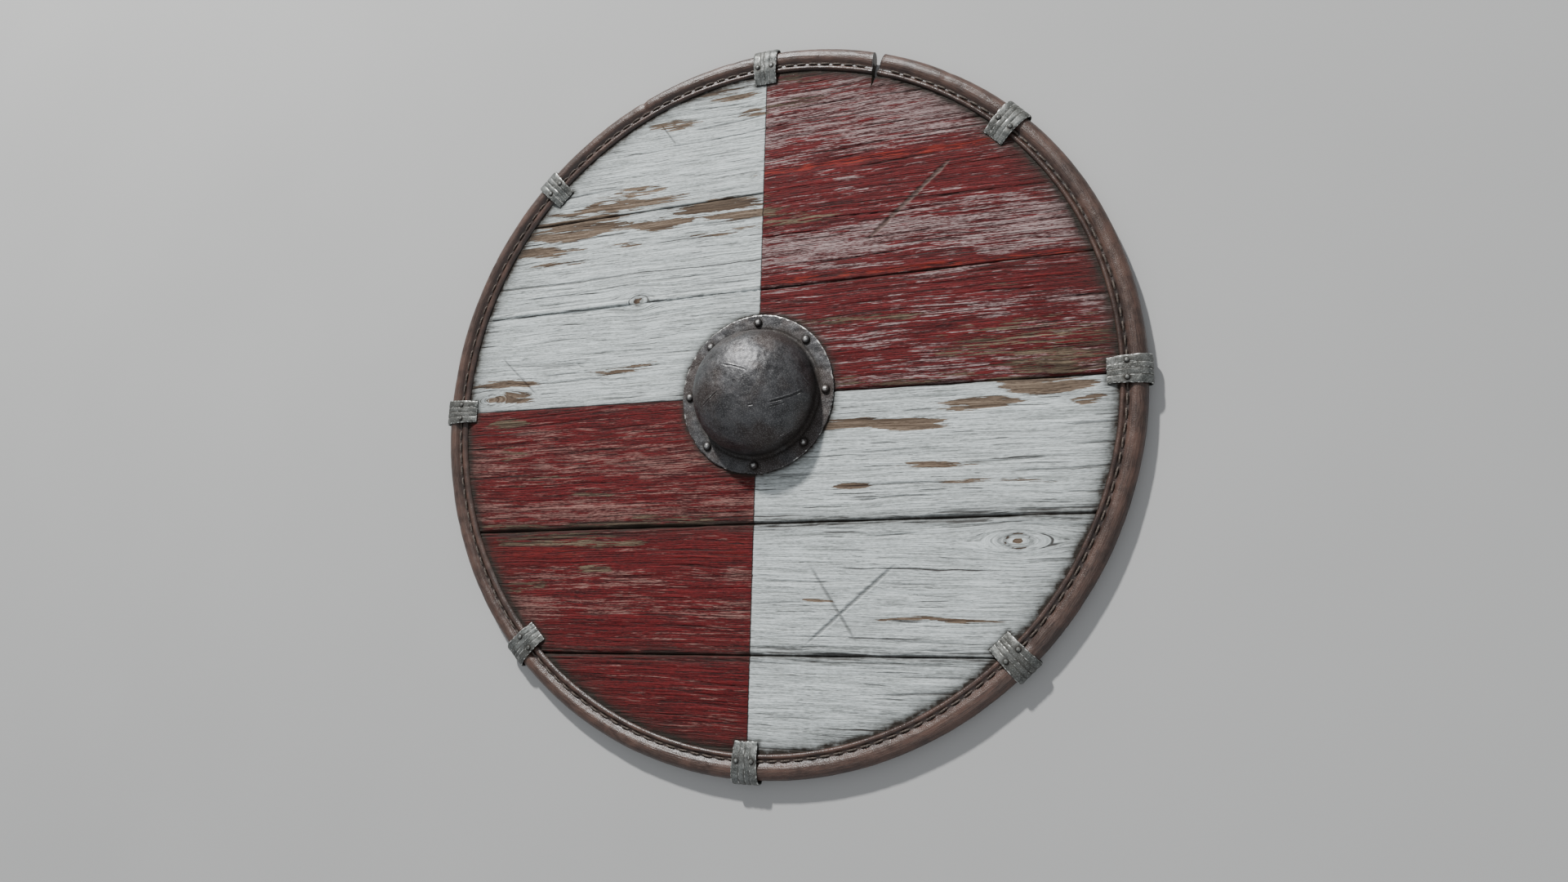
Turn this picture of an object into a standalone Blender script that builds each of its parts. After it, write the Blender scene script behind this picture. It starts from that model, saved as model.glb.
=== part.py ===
"""A wooden round shield, modelled for Blender 4.5, in metres.

The shield lies on its back with the boss up. +Z points out of its front and +Y to its top.
The origin is on the surface that the shield lies on, under the middle of the boss.

Six planks lie side by side and make a flat round board. A sewn leather edging covers the board's
edge, eight bent iron clips grip the edging, and an iron boss covers the hand hole. A wooden handle
crosses the hole from behind. A blade has cut through the edging and into the top plank.
"""
import math

import bmesh
import bpy
from mathutils import Matrix

# Air between two pieces that touch, and the threshold under which points are one
GAP = 0.0003
WELD = 0.00005

# Board
RIM_RADIUS = 0.430
BOARD_THICKNESS = 0.008
EDGE_COVER = 0.015          # leather outside the board's edge
BOARD_RADIUS = RIM_RADIUS - EDGE_COVER
BOARD_STEPS = 64            # sides of the board and of the edging

# Each joint between two planks: its height at the middle of the shield, and its rise per metre
PLANK_JOINTS = (
    (0.5952 * BOARD_RADIUS, 0.018),
    (0.3036 * BOARD_RADIUS, 0.016),
    (-0.0048 * BOARD_RADIUS, 0.000),
    (-0.3639 * BOARD_RADIUS, 0.014),
    (-0.7157 * BOARD_RADIUS, 0.016),
)

# Leather edging: an outer roll, a stitched groove and an inner lip, alike on both faces
EDGING_WIDTH = 0.0285
EDGING_THICKNESS = 0.018
ROLL_WIDTH = 0.0213
LIP_WIDTH = 0.0058
LIP_HEIGHT = 0.0029
GROOVE_LEATHER = 0.0014     # leather left under the stitches
ROLL_STEPS = 3              # on each face
LIP_STEPS = 2

# The cut through the edging, seen from the front, at an angle from +X
NOTCH_ANGLE = math.radians(69.8)
NOTCH_DEPTH = 0.045
NOTCH_TIP_LENGTH = 0.0145   # from the neck to the tip
NOTCH_NECK_LEFT = 0.0038
NOTCH_NECK_RIGHT = 0.0020
NOTCH_MOUTH_LEFT = 0.0118
NOTCH_MOUTH_RIGHT = 0.0038

# Clips
CLIP_COUNT = 8
CLIP_WIDTH = 0.0315         # at the rim
CLIP_TIP_WIDTH = 0.0275     # at its inner end
CLIP_THICKNESS = 0.002
CLIP_REACH = 0.0415         # from the rim's outside to the clip's inner end
CLIP_STANDOFF = 0.0027      # air between the edging and the bend of the clip
CLIP_SHOULDER = 0.004       # flat iron inside the rivets, before the clip slopes to the board
CLIP_BEND_STEPS = 6
CLIP_RIVET_SPACING = 0.0178
CLIP_RIVET_SHANK = 0.0012
CLIP_RIVET_HEAD = 0.0031
CLIP_RIVET_RISE = 0.0018

# Boss
BOSS_RADIUS = 0.095
BOSS_WALL = 0.002
FLANGE_WIDTH = 0.021
DOME_RADIUS = BOSS_RADIUS - FLANGE_WIDTH
DOME_HEIGHT = 0.060
DOME_FULLNESS = 2.15        # 2 is a half ellipse, and more is fuller
DOME_FILLET = 0.003
DOME_STEPS = 8
FILLET_STEPS = 2
BOSS_STEPS = 36
BOSS_RIVET_COUNT = 8
BOSS_RIVET_CIRCLE = DOME_RADIUS + FLANGE_WIDTH / 2
BOSS_RIVET_SHANK = 0.0018
BOSS_RIVET_HEAD = 0.0050
BOSS_RIVET_RISE = 0.0034
BOSS_RIVET_TAIL = 0.0034    # radius of the end peened over on the planks' back
BOSS_RIVET_TAIL_RISE = 0.0014

# Hand hole, inside the boss
HOLE_LEDGE = 0.011          # board that shows inside the dome
HAND_HOLE_RADIUS = DOME_RADIUS - HOLE_LEDGE
HOLE_STEPS = 21

# Handle
LATH_THICKNESS = 0.0065
LATH_WIDTH = 0.040          # beside the hand hole
LATH_END_WIDTH = 0.024
LATH_END_ROOM = 0.005       # from the lath's ends to the clips
LATH_CORNER = 0.0015
HANDLE_SHY = 0.0005         # the handle lies this much above the clips' backs
GRIP_WIDTH = 0.029
GRIP_DEPTH = 0.020
GRIP_RUN = 0.016            # length of the change from lath to grip
GRIP_STEPS = 4
GRIP_ROOM = 0.002           # from the start of the grip to the hand hole's edge
GRIP_ROUNDNESS = 0.8        # 0 is a square grip, and 1 a round one

# Sides of the rivets and their holes
CLIP_RIVET_SIDES = 8
BOSS_RIVET_SIDES = 10
CLIP_RIVET_STEPS = 2        # rings on a head
BOSS_RIVET_STEPS = 3

# Heights, from the pieces that lie on each other
CLIP_INSIDE = EDGING_THICKNESS / 2 + GAP
CLIP_BACK = CLIP_INSIDE + CLIP_THICKNESS
HANDLE_BACK = BOARD_THICKNESS / 2 + GAP + LATH_THICKNESS + HANDLE_SHY
MIDDLE = max(CLIP_BACK, HANDLE_BACK)
BOARD_FRONT = MIDDLE + BOARD_THICKNESS / 2
BOARD_BACK = MIDDLE - BOARD_THICKNESS / 2
FLANGE_BACK = BOARD_FRONT + GAP
FLANGE_FRONT = FLANGE_BACK + BOSS_WALL
LATH_FRONT = BOARD_BACK - GAP
LATH_BACK = LATH_FRONT - LATH_THICKNESS

# Radii, from the pieces that hold each other
LIP_RADIUS = RIM_RADIUS - EDGING_WIDTH
GROOVE_HEIGHT = BOARD_THICKNESS / 2 + GAP + GROOVE_LEATHER
ROLL_CUT = math.asin(2 * GROOVE_HEIGHT / EDGING_THICKNESS)
ROLL_HALF = ROLL_WIDTH / 2
ROLL_CENTRE = RIM_RADIUS - ROLL_HALF
LIP_CUT = math.asin(GROOVE_LEATHER / LIP_HEIGHT)
GROOVE_INNER = LIP_RADIUS + LIP_WIDTH / 2 * (1 + math.cos(LIP_CUT))
GROOVE_OUTER = ROLL_CENTRE - ROLL_HALF * math.cos(ROLL_CUT)
STITCH_RADIUS = (GROOVE_INNER + GROOVE_OUTER) / 2
CLIP_TIP_RADIUS = RIM_RADIUS - CLIP_REACH
LATH_HALF_LENGTH = CLIP_TIP_RADIUS - LATH_END_ROOM
GRIP_HALF_LENGTH = math.sqrt(HAND_HOLE_RADIUS ** 2 - (LATH_WIDTH / 2) ** 2) - GRIP_ROOM


def clear_scene():
    for obj in list(bpy.data.objects):
        bpy.data.objects.remove(obj, do_unlink=True)


def make_collection(name):
    collection = bpy.data.collections.new(name)
    bpy.context.scene.collection.children.link(collection)
    return collection


def make_material(name, colour, roughness, metallic):
    material = bpy.data.materials.new(name)
    material.use_nodes = True
    shader = material.node_tree.nodes["Principled BSDF"]
    shader.inputs["Base Color"].default_value = (*colour, 1.0)
    shader.inputs["Roughness"].default_value = roughness
    shader.inputs["Metallic"].default_value = metallic
    return material


def add_object(name, mesh, collection, material=None):
    obj = bpy.data.objects.new(name, mesh)
    collection.objects.link(obj)
    if material is not None and not mesh.materials:
        mesh.materials.append(material)
    return obj


def mesh_from(bm, name):
    mesh = bpy.data.meshes.new(name)
    bm.to_mesh(mesh)
    bm.free()
    return mesh


def mark_cutter(obj):
    obj.hide_render = True
    obj.display_type = "WIRE"
    return obj


def add_boolean(obj, cutter, operation):
    modifier = obj.modifiers.new(operation.title(), "BOOLEAN")
    modifier.object = cutter
    modifier.operation = operation
    modifier.solver = "EXACT"


def add_screw(obj, steps):
    screw = obj.modifiers.new("Turn", "SCREW")
    screw.steps = steps
    screw.render_steps = steps
    screw.use_merge_vertices = True
    screw.merge_threshold = WELD
    screw.use_smooth_shade = True


def profile_mesh(name, points, closed=False):
    """A line through (radius, height) points, in the XZ plane, ready to be turned."""
    bm = bmesh.new()
    verts = [bm.verts.new((radius, 0.0, height)) for radius, height in points]
    for first, second in zip(verts, verts[1:]):
        bm.edges.new((first, second))
    if closed:
        bm.edges.new((verts[-1], verts[0]))
    return mesh_from(bm, name)


def polar(radius, angle, side=0.0):
    """The point at a radius and an angle, moved sideways to the left of that direction."""
    x = radius * math.cos(angle) - side * math.sin(angle)
    y = radius * math.sin(angle) + side * math.cos(angle)
    return x, y


def joint_line(joint, x):
    place, rise = joint
    return place + rise * x


def outline_cutter(name, outline, bottom, top, collection):
    """A straight-sided block between two heights, over a flat outline."""
    curve = bpy.data.curves.new(name, "CURVE")
    curve.dimensions = "2D"
    curve.fill_mode = "BOTH"
    curve.extrude = (top - bottom) / 2
    spline = curve.splines.new("POLY")
    spline.points.add(len(outline) - 1)
    for point, (x, y) in zip(spline.points, outline):
        point.co = (x, y, 0.0, 1.0)
    spline.use_cyclic_u = True
    source = add_object(name, curve, collection)
    bpy.context.view_layer.update()
    graph = bpy.context.evaluated_depsgraph_get()
    mesh = bpy.data.meshes.new_from_object(source.evaluated_get(graph))
    bpy.data.objects.remove(source, do_unlink=True)
    bm = bmesh.new()
    bm.from_mesh(mesh)
    bmesh.ops.remove_doubles(bm, verts=bm.verts, dist=WELD)
    bmesh.ops.translate(bm, verts=bm.verts, vec=(0.0, 0.0, (top + bottom) / 2))
    bmesh.ops.recalc_face_normals(bm, faces=bm.faces)
    bm.to_mesh(mesh)
    bm.free()
    return mark_cutter(add_object(name, mesh, collection))


def disc_cutter(name, radius, steps, bottom, top, collection):
    bm = bmesh.new()
    bmesh.ops.create_cone(bm, cap_ends=True, segments=steps, radius1=radius, radius2=radius,
                          depth=top - bottom)
    bmesh.ops.rotate(bm, verts=bm.verts, matrix=turn_about_z(math.pi / 2), cent=(0, 0, 0))
    bmesh.ops.translate(bm, verts=bm.verts, vec=(0.0, 0.0, (top + bottom) / 2))
    return mark_cutter(add_object(name, mesh_from(bm, name), collection))


def turn_about_z(angle):
    return Matrix.Rotation(angle, 3, "Z")


def bores_cutter(name, places, radius, sides, bottom, top, collection):
    """One upright bore at each (x, y, angle), joined in one cutter."""
    bm = bmesh.new()
    for x, y, angle in places:
        made = bmesh.ops.create_cone(bm, cap_ends=True, segments=sides, radius1=radius,
                                     radius2=radius, depth=top - bottom)
        bmesh.ops.rotate(bm, verts=made["verts"], matrix=turn_about_z(angle), cent=(0, 0, 0))
        bmesh.ops.translate(bm, verts=made["verts"], vec=(x, y, (top + bottom) / 2))
    return mark_cutter(add_object(name, mesh_from(bm, name), collection))


def clip_angles():
    return [math.pi / 2 - math.tau * number / CLIP_COUNT for number in range(CLIP_COUNT)]


def clip_rivet_places():
    places = []
    for angle in clip_angles():
        for side in (CLIP_RIVET_SPACING / 2, -CLIP_RIVET_SPACING / 2):
            x, y = polar(STITCH_RADIUS, angle, side)
            places.append((x, y, angle))
    return places


def boss_rivet_places():
    places = []
    for number in range(BOSS_RIVET_COUNT):
        angle = math.pi / 2 - math.tau * number / BOSS_RIVET_COUNT
        x, y = polar(BOSS_RIVET_CIRCLE, angle)
        places.append((x, y, angle))
    return places


def notch_outline():
    """The blade's cut: a wide mouth at the rim, a neck at the lip and a short tip beyond it."""
    beyond = RIM_RADIUS + CLIP_STANDOFF
    neck = RIM_RADIUS - NOTCH_DEPTH + NOTCH_TIP_LENGTH
    return [
        polar(beyond, NOTCH_ANGLE, NOTCH_MOUTH_LEFT),
        polar(neck, NOTCH_ANGLE, NOTCH_NECK_LEFT),
        polar(RIM_RADIUS - NOTCH_DEPTH, NOTCH_ANGLE),
        polar(neck, NOTCH_ANGLE, -NOTCH_NECK_RIGHT),
        polar(beyond, NOTCH_ANGLE, -NOTCH_MOUTH_RIGHT),
    ]


def plank_block(name, upper, lower):
    """A long block between two joint lines, wider than the board is round."""
    bm = bmesh.new()
    bmesh.ops.create_cube(bm, size=1.0)
    half = RIM_RADIUS
    for vert in bm.verts:
        x = math.copysign(half, vert.co.x)
        if vert.co.y > 0:
            y = half if upper is None else joint_line(upper, x) - GAP / 2
        else:
            y = -half if lower is None else joint_line(lower, x) + GAP / 2
        z = BOARD_FRONT if vert.co.z > 0 else BOARD_BACK
        vert.co = (x, y, z)
    return mesh_from(bm, name)


def inside_joints(places, upper, lower, margin):
    """Whether one of the places meets the plank between these joints."""
    for x, y, _ in places:
        below_upper = upper is None or y - margin < joint_line(upper, x)
        above_lower = lower is None or y + margin > joint_line(lower, x)
        if below_upper and above_lower:
            return True
    return False


def make_planks(parts, cutters, wood):
    disc = disc_cutter("board_outline", BOARD_RADIUS, BOARD_STEPS, BOARD_BACK - GAP,
                       BOARD_FRONT + GAP, cutters)
    hole = disc_cutter("hand_hole", HAND_HOLE_RADIUS, HOLE_STEPS, BOARD_BACK - GAP,
                       BOARD_FRONT + GAP, cutters)
    joints = [None, *PLANK_JOINTS, None]
    for number, (upper, lower) in enumerate(zip(joints, joints[1:]), start=1):
        name = f"plank_{number}"
        plank = add_object(name, plank_block(name, upper, lower), parts, wood)
        add_boolean(plank, disc, "INTERSECT")
        if inside_joints([(0.0, 0.0, 0.0)], upper, lower, HAND_HOLE_RADIUS):
            add_boolean(plank, hole, "DIFFERENCE")
        yield plank, upper, lower


def edging_profile():
    """The section of the edging, from its front lip over the roll to its back lip and the slot."""
    lip_centre = LIP_RADIUS + LIP_WIDTH / 2
    slot = BOARD_THICKNESS / 2 + GAP
    front = []
    for step in range(LIP_STEPS + 1):
        angle = math.pi + (LIP_CUT - math.pi) * step / LIP_STEPS
        radius = lip_centre + LIP_WIDTH / 2 * math.cos(angle)
        front.append((radius, slot + LIP_HEIGHT * math.sin(angle)))
    front.append((GROOVE_OUTER, GROOVE_HEIGHT))
    for step in range(ROLL_STEPS):
        angle = math.pi / 2 * (1 - step / ROLL_STEPS)
        radius = ROLL_CENTRE + ROLL_HALF * math.cos(angle)
        front.append((radius, EDGING_THICKNESS / 2 * math.sin(angle)))
    back = [(radius, -height) for radius, height in reversed(front)]
    slot_radius = BOARD_RADIUS + GAP
    section = front + [(RIM_RADIUS, 0.0)] + back + [(slot_radius, -slot), (slot_radius, slot)]
    return [(radius, MIDDLE + height) for radius, height in section]


def make_edging(parts, leather):
    name = "leather_edging"
    edging = add_object(name, profile_mesh(name, edging_profile(), closed=True), parts, leather)
    add_screw(edging, BOARD_STEPS)
    return edging


def clip_path():
    """The inside of a bent clip, as (radius, height from the board's middle), front to back."""
    tip = (CLIP_TIP_RADIUS, BOARD_THICKNESS / 2 + GAP)
    shoulder = (STITCH_RADIUS - CLIP_SHOULDER, CLIP_INSIDE)
    path = [tip, shoulder]
    bend = RIM_RADIUS + CLIP_STANDOFF - ROLL_CENTRE
    for step in range(CLIP_BEND_STEPS + 1):
        angle = math.pi / 2 - math.pi * step / CLIP_BEND_STEPS
        path.append((ROLL_CENTRE + bend * math.cos(angle), CLIP_INSIDE * math.sin(angle)))
    path += [(shoulder[0], -shoulder[1]), (tip[0], -tip[1])]
    return path


def clip_half_width(radius):
    share = (radius - CLIP_TIP_RADIUS) / (RIM_RADIUS - CLIP_TIP_RADIUS)
    return (CLIP_TIP_WIDTH + (CLIP_WIDTH - CLIP_TIP_WIDTH) * min(share, 1.0)) / 2


def make_clips(parts, iron):
    """A clip is a tapered strip of iron, bent round the edging and open towards the boss."""
    bm = bmesh.new()
    line = [bm.verts.new((radius, -1.0, MIDDLE + height)) for radius, height in clip_path()]
    edges = [bm.edges.new(pair) for pair in zip(line, line[1:])]
    made = bmesh.ops.extrude_edge_only(bm, edges=edges)["geom"]
    for vert in made:
        if isinstance(vert, bmesh.types.BMVert):
            vert.co.y = 1.0
    for vert in bm.verts:
        vert.co.y *= clip_half_width(vert.co.x)
    bmesh.ops.recalc_face_normals(bm, faces=bm.faces)
    outermost = max(bm.faces, key=lambda face: face.calc_center_median().x)
    if outermost.normal.x < 0:
        bmesh.ops.reverse_faces(bm, faces=bm.faces)
    mesh = mesh_from(bm, "clip")
    clips = []
    for number, angle in enumerate(clip_angles(), start=1):
        clip = add_object(f"clip_{number}", mesh, parts, iron)
        clip.rotation_euler.z = angle
        wall = clip.modifiers.new("Wall", "SOLIDIFY")
        wall.thickness = CLIP_THICKNESS
        wall.offset = 1.0
        wall.use_even_offset = True
        clips.append(clip)
    return clips


def head_profile(radius, rise, height, steps):
    """A low round head, from its crown down to its edge."""
    points = []
    for step in range(steps + 1):
        angle = math.pi / 2 * step / steps
        points.append((radius * math.sin(angle), height + rise * math.cos(angle)))
    return points


def make_clip_rivets(parts, iron):
    """Each rivet goes through a clip's front, the edging, the board and the clip's back."""
    seat = MIDDLE + CLIP_BACK + GAP
    end = MIDDLE - CLIP_BACK + GAP
    points = head_profile(CLIP_RIVET_HEAD, CLIP_RIVET_RISE, seat, CLIP_RIVET_STEPS)
    points += [(CLIP_RIVET_SHANK, seat), (CLIP_RIVET_SHANK, end), (0.0, end)]
    mesh = profile_mesh("clip_rivet", points)
    for number, (x, y, angle) in enumerate(clip_rivet_places()):
        side = "ab"[number % 2]
        rivet = add_object(f"clip_rivet_{number // 2 + 1}{side}", mesh, parts, iron)
        rivet.location = (x, y, 0.0)
        rivet.rotation_euler.z = angle
        add_screw(rivet, CLIP_RIVET_SIDES)


def boss_profile():
    """The front of the boss, from the dome's crown down to the flange's edge."""
    points = []
    rise = DOME_HEIGHT - DOME_FILLET
    foot = FLANGE_FRONT + DOME_FILLET
    for step in range(DOME_STEPS + 1):
        angle = math.pi / 2 * step / DOME_STEPS
        across = math.sin(angle) ** (2 / DOME_FULLNESS)
        along = math.cos(angle) ** (2 / DOME_FULLNESS) if step < DOME_STEPS else 0.0
        points.append((DOME_RADIUS * across, foot + rise * along))
    for step in range(FILLET_STEPS):
        angle = math.pi / 2 * (step + 1) / FILLET_STEPS
        radius = DOME_RADIUS + DOME_FILLET * (1 - math.cos(angle))
        points.append((radius, foot - DOME_FILLET * math.sin(angle)))
    points.append((BOSS_RADIUS, FLANGE_FRONT))
    return points


def make_boss(parts, iron):
    boss = add_object("boss", profile_mesh("boss", boss_profile()), parts, iron)
    add_screw(boss, BOSS_STEPS)
    wall = boss.modifiers.new("Wall", "SOLIDIFY")
    wall.thickness = BOSS_WALL
    wall.offset = -1.0
    wall.use_even_offset = True
    return boss


def make_boss_rivets(parts, iron):
    """The rivets on the handle go through it, and the others are peened on the planks."""
    seat = FLANGE_FRONT + GAP
    head = head_profile(BOSS_RIVET_HEAD, BOSS_RIVET_RISE, seat, BOSS_RIVET_STEPS)
    head.append((BOSS_RIVET_SHANK, seat))
    tail = BOARD_BACK - GAP
    tail_end = tail - BOSS_RIVET_TAIL_RISE
    peened = [(BOSS_RIVET_SHANK, tail), (BOSS_RIVET_TAIL, tail), (BOSS_RIVET_TAIL, tail_end),
              (0.0, tail_end)]
    flush = [(BOSS_RIVET_SHANK, LATH_BACK), (0.0, LATH_BACK)]
    short = profile_mesh("boss_rivet", head + peened)
    long = profile_mesh("handle_rivet", head + flush)
    for number, (x, y, angle) in enumerate(boss_rivet_places(), start=1):
        on_handle = abs(x) < LATH_WIDTH / 2
        rivet = add_object(f"boss_rivet_{number}", long if on_handle else short, parts, iron)
        rivet.location = (x, y, 0.0)
        rivet.rotation_euler.z = angle
        add_screw(rivet, BOSS_RIVET_SIDES)


def smooth_share(value):
    share = min(max(value, 0.0), 1.0)
    return share * share * (3 - 2 * share)


def handle_section(y):
    """Half width, lowest and highest point and corner radius of the handle at a place."""
    grip = smooth_share((GRIP_HALF_LENGTH - abs(y)) / GRIP_RUN)
    along = abs(y) / LATH_HALF_LENGTH
    lath = LATH_WIDTH + (LATH_END_WIDTH - LATH_WIDTH) * along
    width = lath + (GRIP_WIDTH - lath) * grip
    height = LATH_THICKNESS + (GRIP_DEPTH - LATH_THICKNESS) * grip
    roundness = min(width, height) / 2 - LATH_CORNER
    return width / 2, LATH_BACK, LATH_BACK + height, LATH_CORNER + roundness * GRIP_ROUNDNESS * grip


def handle_ring(y):
    """Twelve points round the handle: three on each of its four corners."""
    half, low, high, corner = handle_section(y)
    centres = (
        (half - corner, high - corner, 0),
        (corner - half, high - corner, 90),
        (corner - half, low + corner, 180),
        (half - corner, low + corner, 270),
    )
    ring = []
    for x, z, start in centres:
        for turn in (0, 45, 90):
            angle = math.radians(start + turn)
            ring.append((x + corner * math.cos(angle), y, z + corner * math.sin(angle)))
    return ring


def handle_stations():
    """Places along the handle, closer together where the lath becomes the grip."""
    half = [LATH_HALF_LENGTH, (LATH_HALF_LENGTH + GRIP_HALF_LENGTH) / 2]
    half += [GRIP_HALF_LENGTH - GRIP_RUN * step / GRIP_STEPS for step in range(GRIP_STEPS + 1)]
    half += [(GRIP_HALF_LENGTH - GRIP_RUN) / 2]
    return half + [0.0] + [-y for y in reversed(half)]


def make_handle(parts, wood):
    """The handle is lofted from ring to ring, with a flat end at each side."""
    bm = bmesh.new()
    rings = []
    for y in handle_stations():
        rings.append([bm.verts.new(point) for point in handle_ring(y)])
    for first, second in zip(rings, rings[1:]):
        for index in range(len(first)):
            after = (index + 1) % len(first)
            bm.faces.new((first[index], first[after], second[after], second[index]))
    bm.faces.new(rings[0])
    bm.faces.new(rings[-1])
    bmesh.ops.recalc_face_normals(bm, faces=bm.faces)
    return add_object("handle", mesh_from(bm, "handle"), parts, wood)


def smooth_round_pieces(parts):
    for obj in parts.objects:
        if obj.name.startswith(("plank", "clip_")) and "rivet" not in obj.name:
            continue
        obj.data.shade_smooth()


def main():
    clear_scene()
    parts = make_collection("round_shield")
    cutters = make_collection("cutters")
    painted_wood = make_material("painted_wood", (0.55, 0.52, 0.50), 0.75, 0.0)
    bare_wood = make_material("bare_wood", (0.24, 0.15, 0.09), 0.8, 0.0)
    leather = make_material("leather", (0.13, 0.09, 0.07), 0.6, 0.0)
    iron = make_material("forged_iron", (0.20, 0.20, 0.20), 0.45, 1.0)
    dark_iron = make_material("dark_iron", (0.10, 0.10, 0.10), 0.5, 1.0)

    clip_places = clip_rivet_places()
    boss_places = boss_rivet_places()
    clip_bores = bores_cutter("clip_rivet_bores", clip_places, CLIP_RIVET_SHANK + GAP,
                              CLIP_RIVET_SIDES, -GAP, 2 * MIDDLE + GAP, cutters)
    boss_bores = bores_cutter("boss_rivet_bores", boss_places, BOSS_RIVET_SHANK + GAP,
                              BOSS_RIVET_SIDES, LATH_BACK - GAP, FLANGE_FRONT + GAP, cutters)
    notch = outline_cutter("blade_cut", notch_outline(), -GAP, 2 * MIDDLE + GAP, cutters)

    for plank, upper, lower in make_planks(parts, cutters, painted_wood):
        if upper is None:
            add_boolean(plank, notch, "DIFFERENCE")
        if inside_joints(clip_places, upper, lower, CLIP_RIVET_SHANK):
            add_boolean(plank, clip_bores, "DIFFERENCE")
        if inside_joints(boss_places, upper, lower, BOSS_RIVET_SHANK):
            add_boolean(plank, boss_bores, "DIFFERENCE")

    edging = make_edging(parts, leather)
    add_boolean(edging, notch, "DIFFERENCE")
    add_boolean(edging, clip_bores, "DIFFERENCE")
    for clip in make_clips(parts, iron):
        add_boolean(clip, clip_bores, "DIFFERENCE")
    make_clip_rivets(parts, iron)
    boss = make_boss(parts, dark_iron)
    add_boolean(boss, boss_bores, "DIFFERENCE")
    make_boss_rivets(parts, dark_iron)
    handle = make_handle(parts, bare_wood)
    add_boolean(handle, boss_bores, "DIFFERENCE")
    smooth_round_pieces(parts)


main()
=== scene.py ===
# %% [markdown]
# A round shield of painted planks, rebuilt over its measured frame.
# The real one is six boards laid side by side, painted in quarters and weathered for years. A
# rolled leather edging is sewn round them, eight iron clips grip the edging, and a hammered iron
# boss covers the hole for the hand. The frame holds every piece at its right size and place. The
# pieces made here lie over it, so the shield rests on its back and its boss points up the Z axis.

# %% Load the frame and keep its box
import math
import random

import bmesh
import bpy
from mathutils import Matrix, Vector, noise


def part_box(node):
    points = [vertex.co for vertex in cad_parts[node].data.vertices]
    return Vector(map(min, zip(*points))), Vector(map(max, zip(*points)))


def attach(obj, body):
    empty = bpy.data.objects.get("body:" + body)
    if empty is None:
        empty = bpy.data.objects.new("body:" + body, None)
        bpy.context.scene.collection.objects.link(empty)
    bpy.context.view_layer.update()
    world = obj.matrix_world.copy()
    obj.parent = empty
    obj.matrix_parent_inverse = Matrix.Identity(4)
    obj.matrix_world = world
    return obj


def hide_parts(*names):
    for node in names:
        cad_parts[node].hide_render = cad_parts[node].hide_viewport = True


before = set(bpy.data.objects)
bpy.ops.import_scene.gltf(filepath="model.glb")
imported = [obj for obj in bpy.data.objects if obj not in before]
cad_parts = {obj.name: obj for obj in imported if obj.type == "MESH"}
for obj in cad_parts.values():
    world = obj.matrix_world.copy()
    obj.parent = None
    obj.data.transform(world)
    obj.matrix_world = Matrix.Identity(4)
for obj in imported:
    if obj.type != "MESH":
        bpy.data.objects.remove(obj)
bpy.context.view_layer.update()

# %% [markdown]
# Every length is in metres. A few sizes come straight from the frame, and the rest repeat what was
# measured on it: the round board, the six planks' five joints, and the ring of the edging.

# %% Sizes that several pieces share
BOARD_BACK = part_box("plank_3")[0][2]
BOARD_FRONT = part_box("plank_3")[1][2]
MIDDLE = (BOARD_BACK + BOARD_FRONT) / 2
RIM_RADIUS = 0.430
BOARD_RADIUS = 0.415
LIP_RADIUS = 0.4015
STITCH_RADIUS = 0.409
HOLE_RADIUS = 0.063
FLANGE_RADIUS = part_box("boss")[1][0]
JOINT_AIR = 0.0001
CLIP_TURNS = [math.pi / 2 - math.tau * number / 8 for number in range(8)]
print("board from", round(BOARD_BACK, 4), "to", round(BOARD_FRONT, 4), "flange", round(FLANGE_RADIUS, 4))

# %% [markdown]
# The camera stands above the lower right of the shield and looks down on it steeply, a little
# turned. It is set by where it stands, what it looks at and which way is up in the picture.

# %% Camera
def new_object(name, data):
    """An object in the scene, at the origin."""
    item = bpy.data.objects.new(name, data)
    bpy.context.scene.collection.objects.link(item)
    return item


EYE = Vector((0.46459, -0.28177, 1.12275))
LOOKS_ALONG = Vector((-0.35531, 0.18577, -0.91610))
PICTURE_UP = Vector((0.04387, 0.98229, 0.18218))

lens = bpy.data.cameras.new("viewpoint")
lens.sensor_width = 36.0
lens.lens = 24.444
viewpoint = new_object("viewpoint", lens)
picture_right = LOOKS_ALONG.cross(PICTURE_UP)
turned = Matrix((picture_right, PICTURE_UP, -LOOKS_ALONG)).transposed()
viewpoint.matrix_world = Matrix.Translation(EYE) @ turned.to_4x4()
bpy.context.scene.camera = viewpoint
print("camera is", round(EYE.length, 2), "m from the middle")

# %% [markdown]
# Shaders are drawn as nodes. Writing each node and link out in full hides the idea of a material, so
# this small helper adds a node, sets it and feeds it in one line. A value that is fed can be a
# number, a colour, or what another node puts out.

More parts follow.
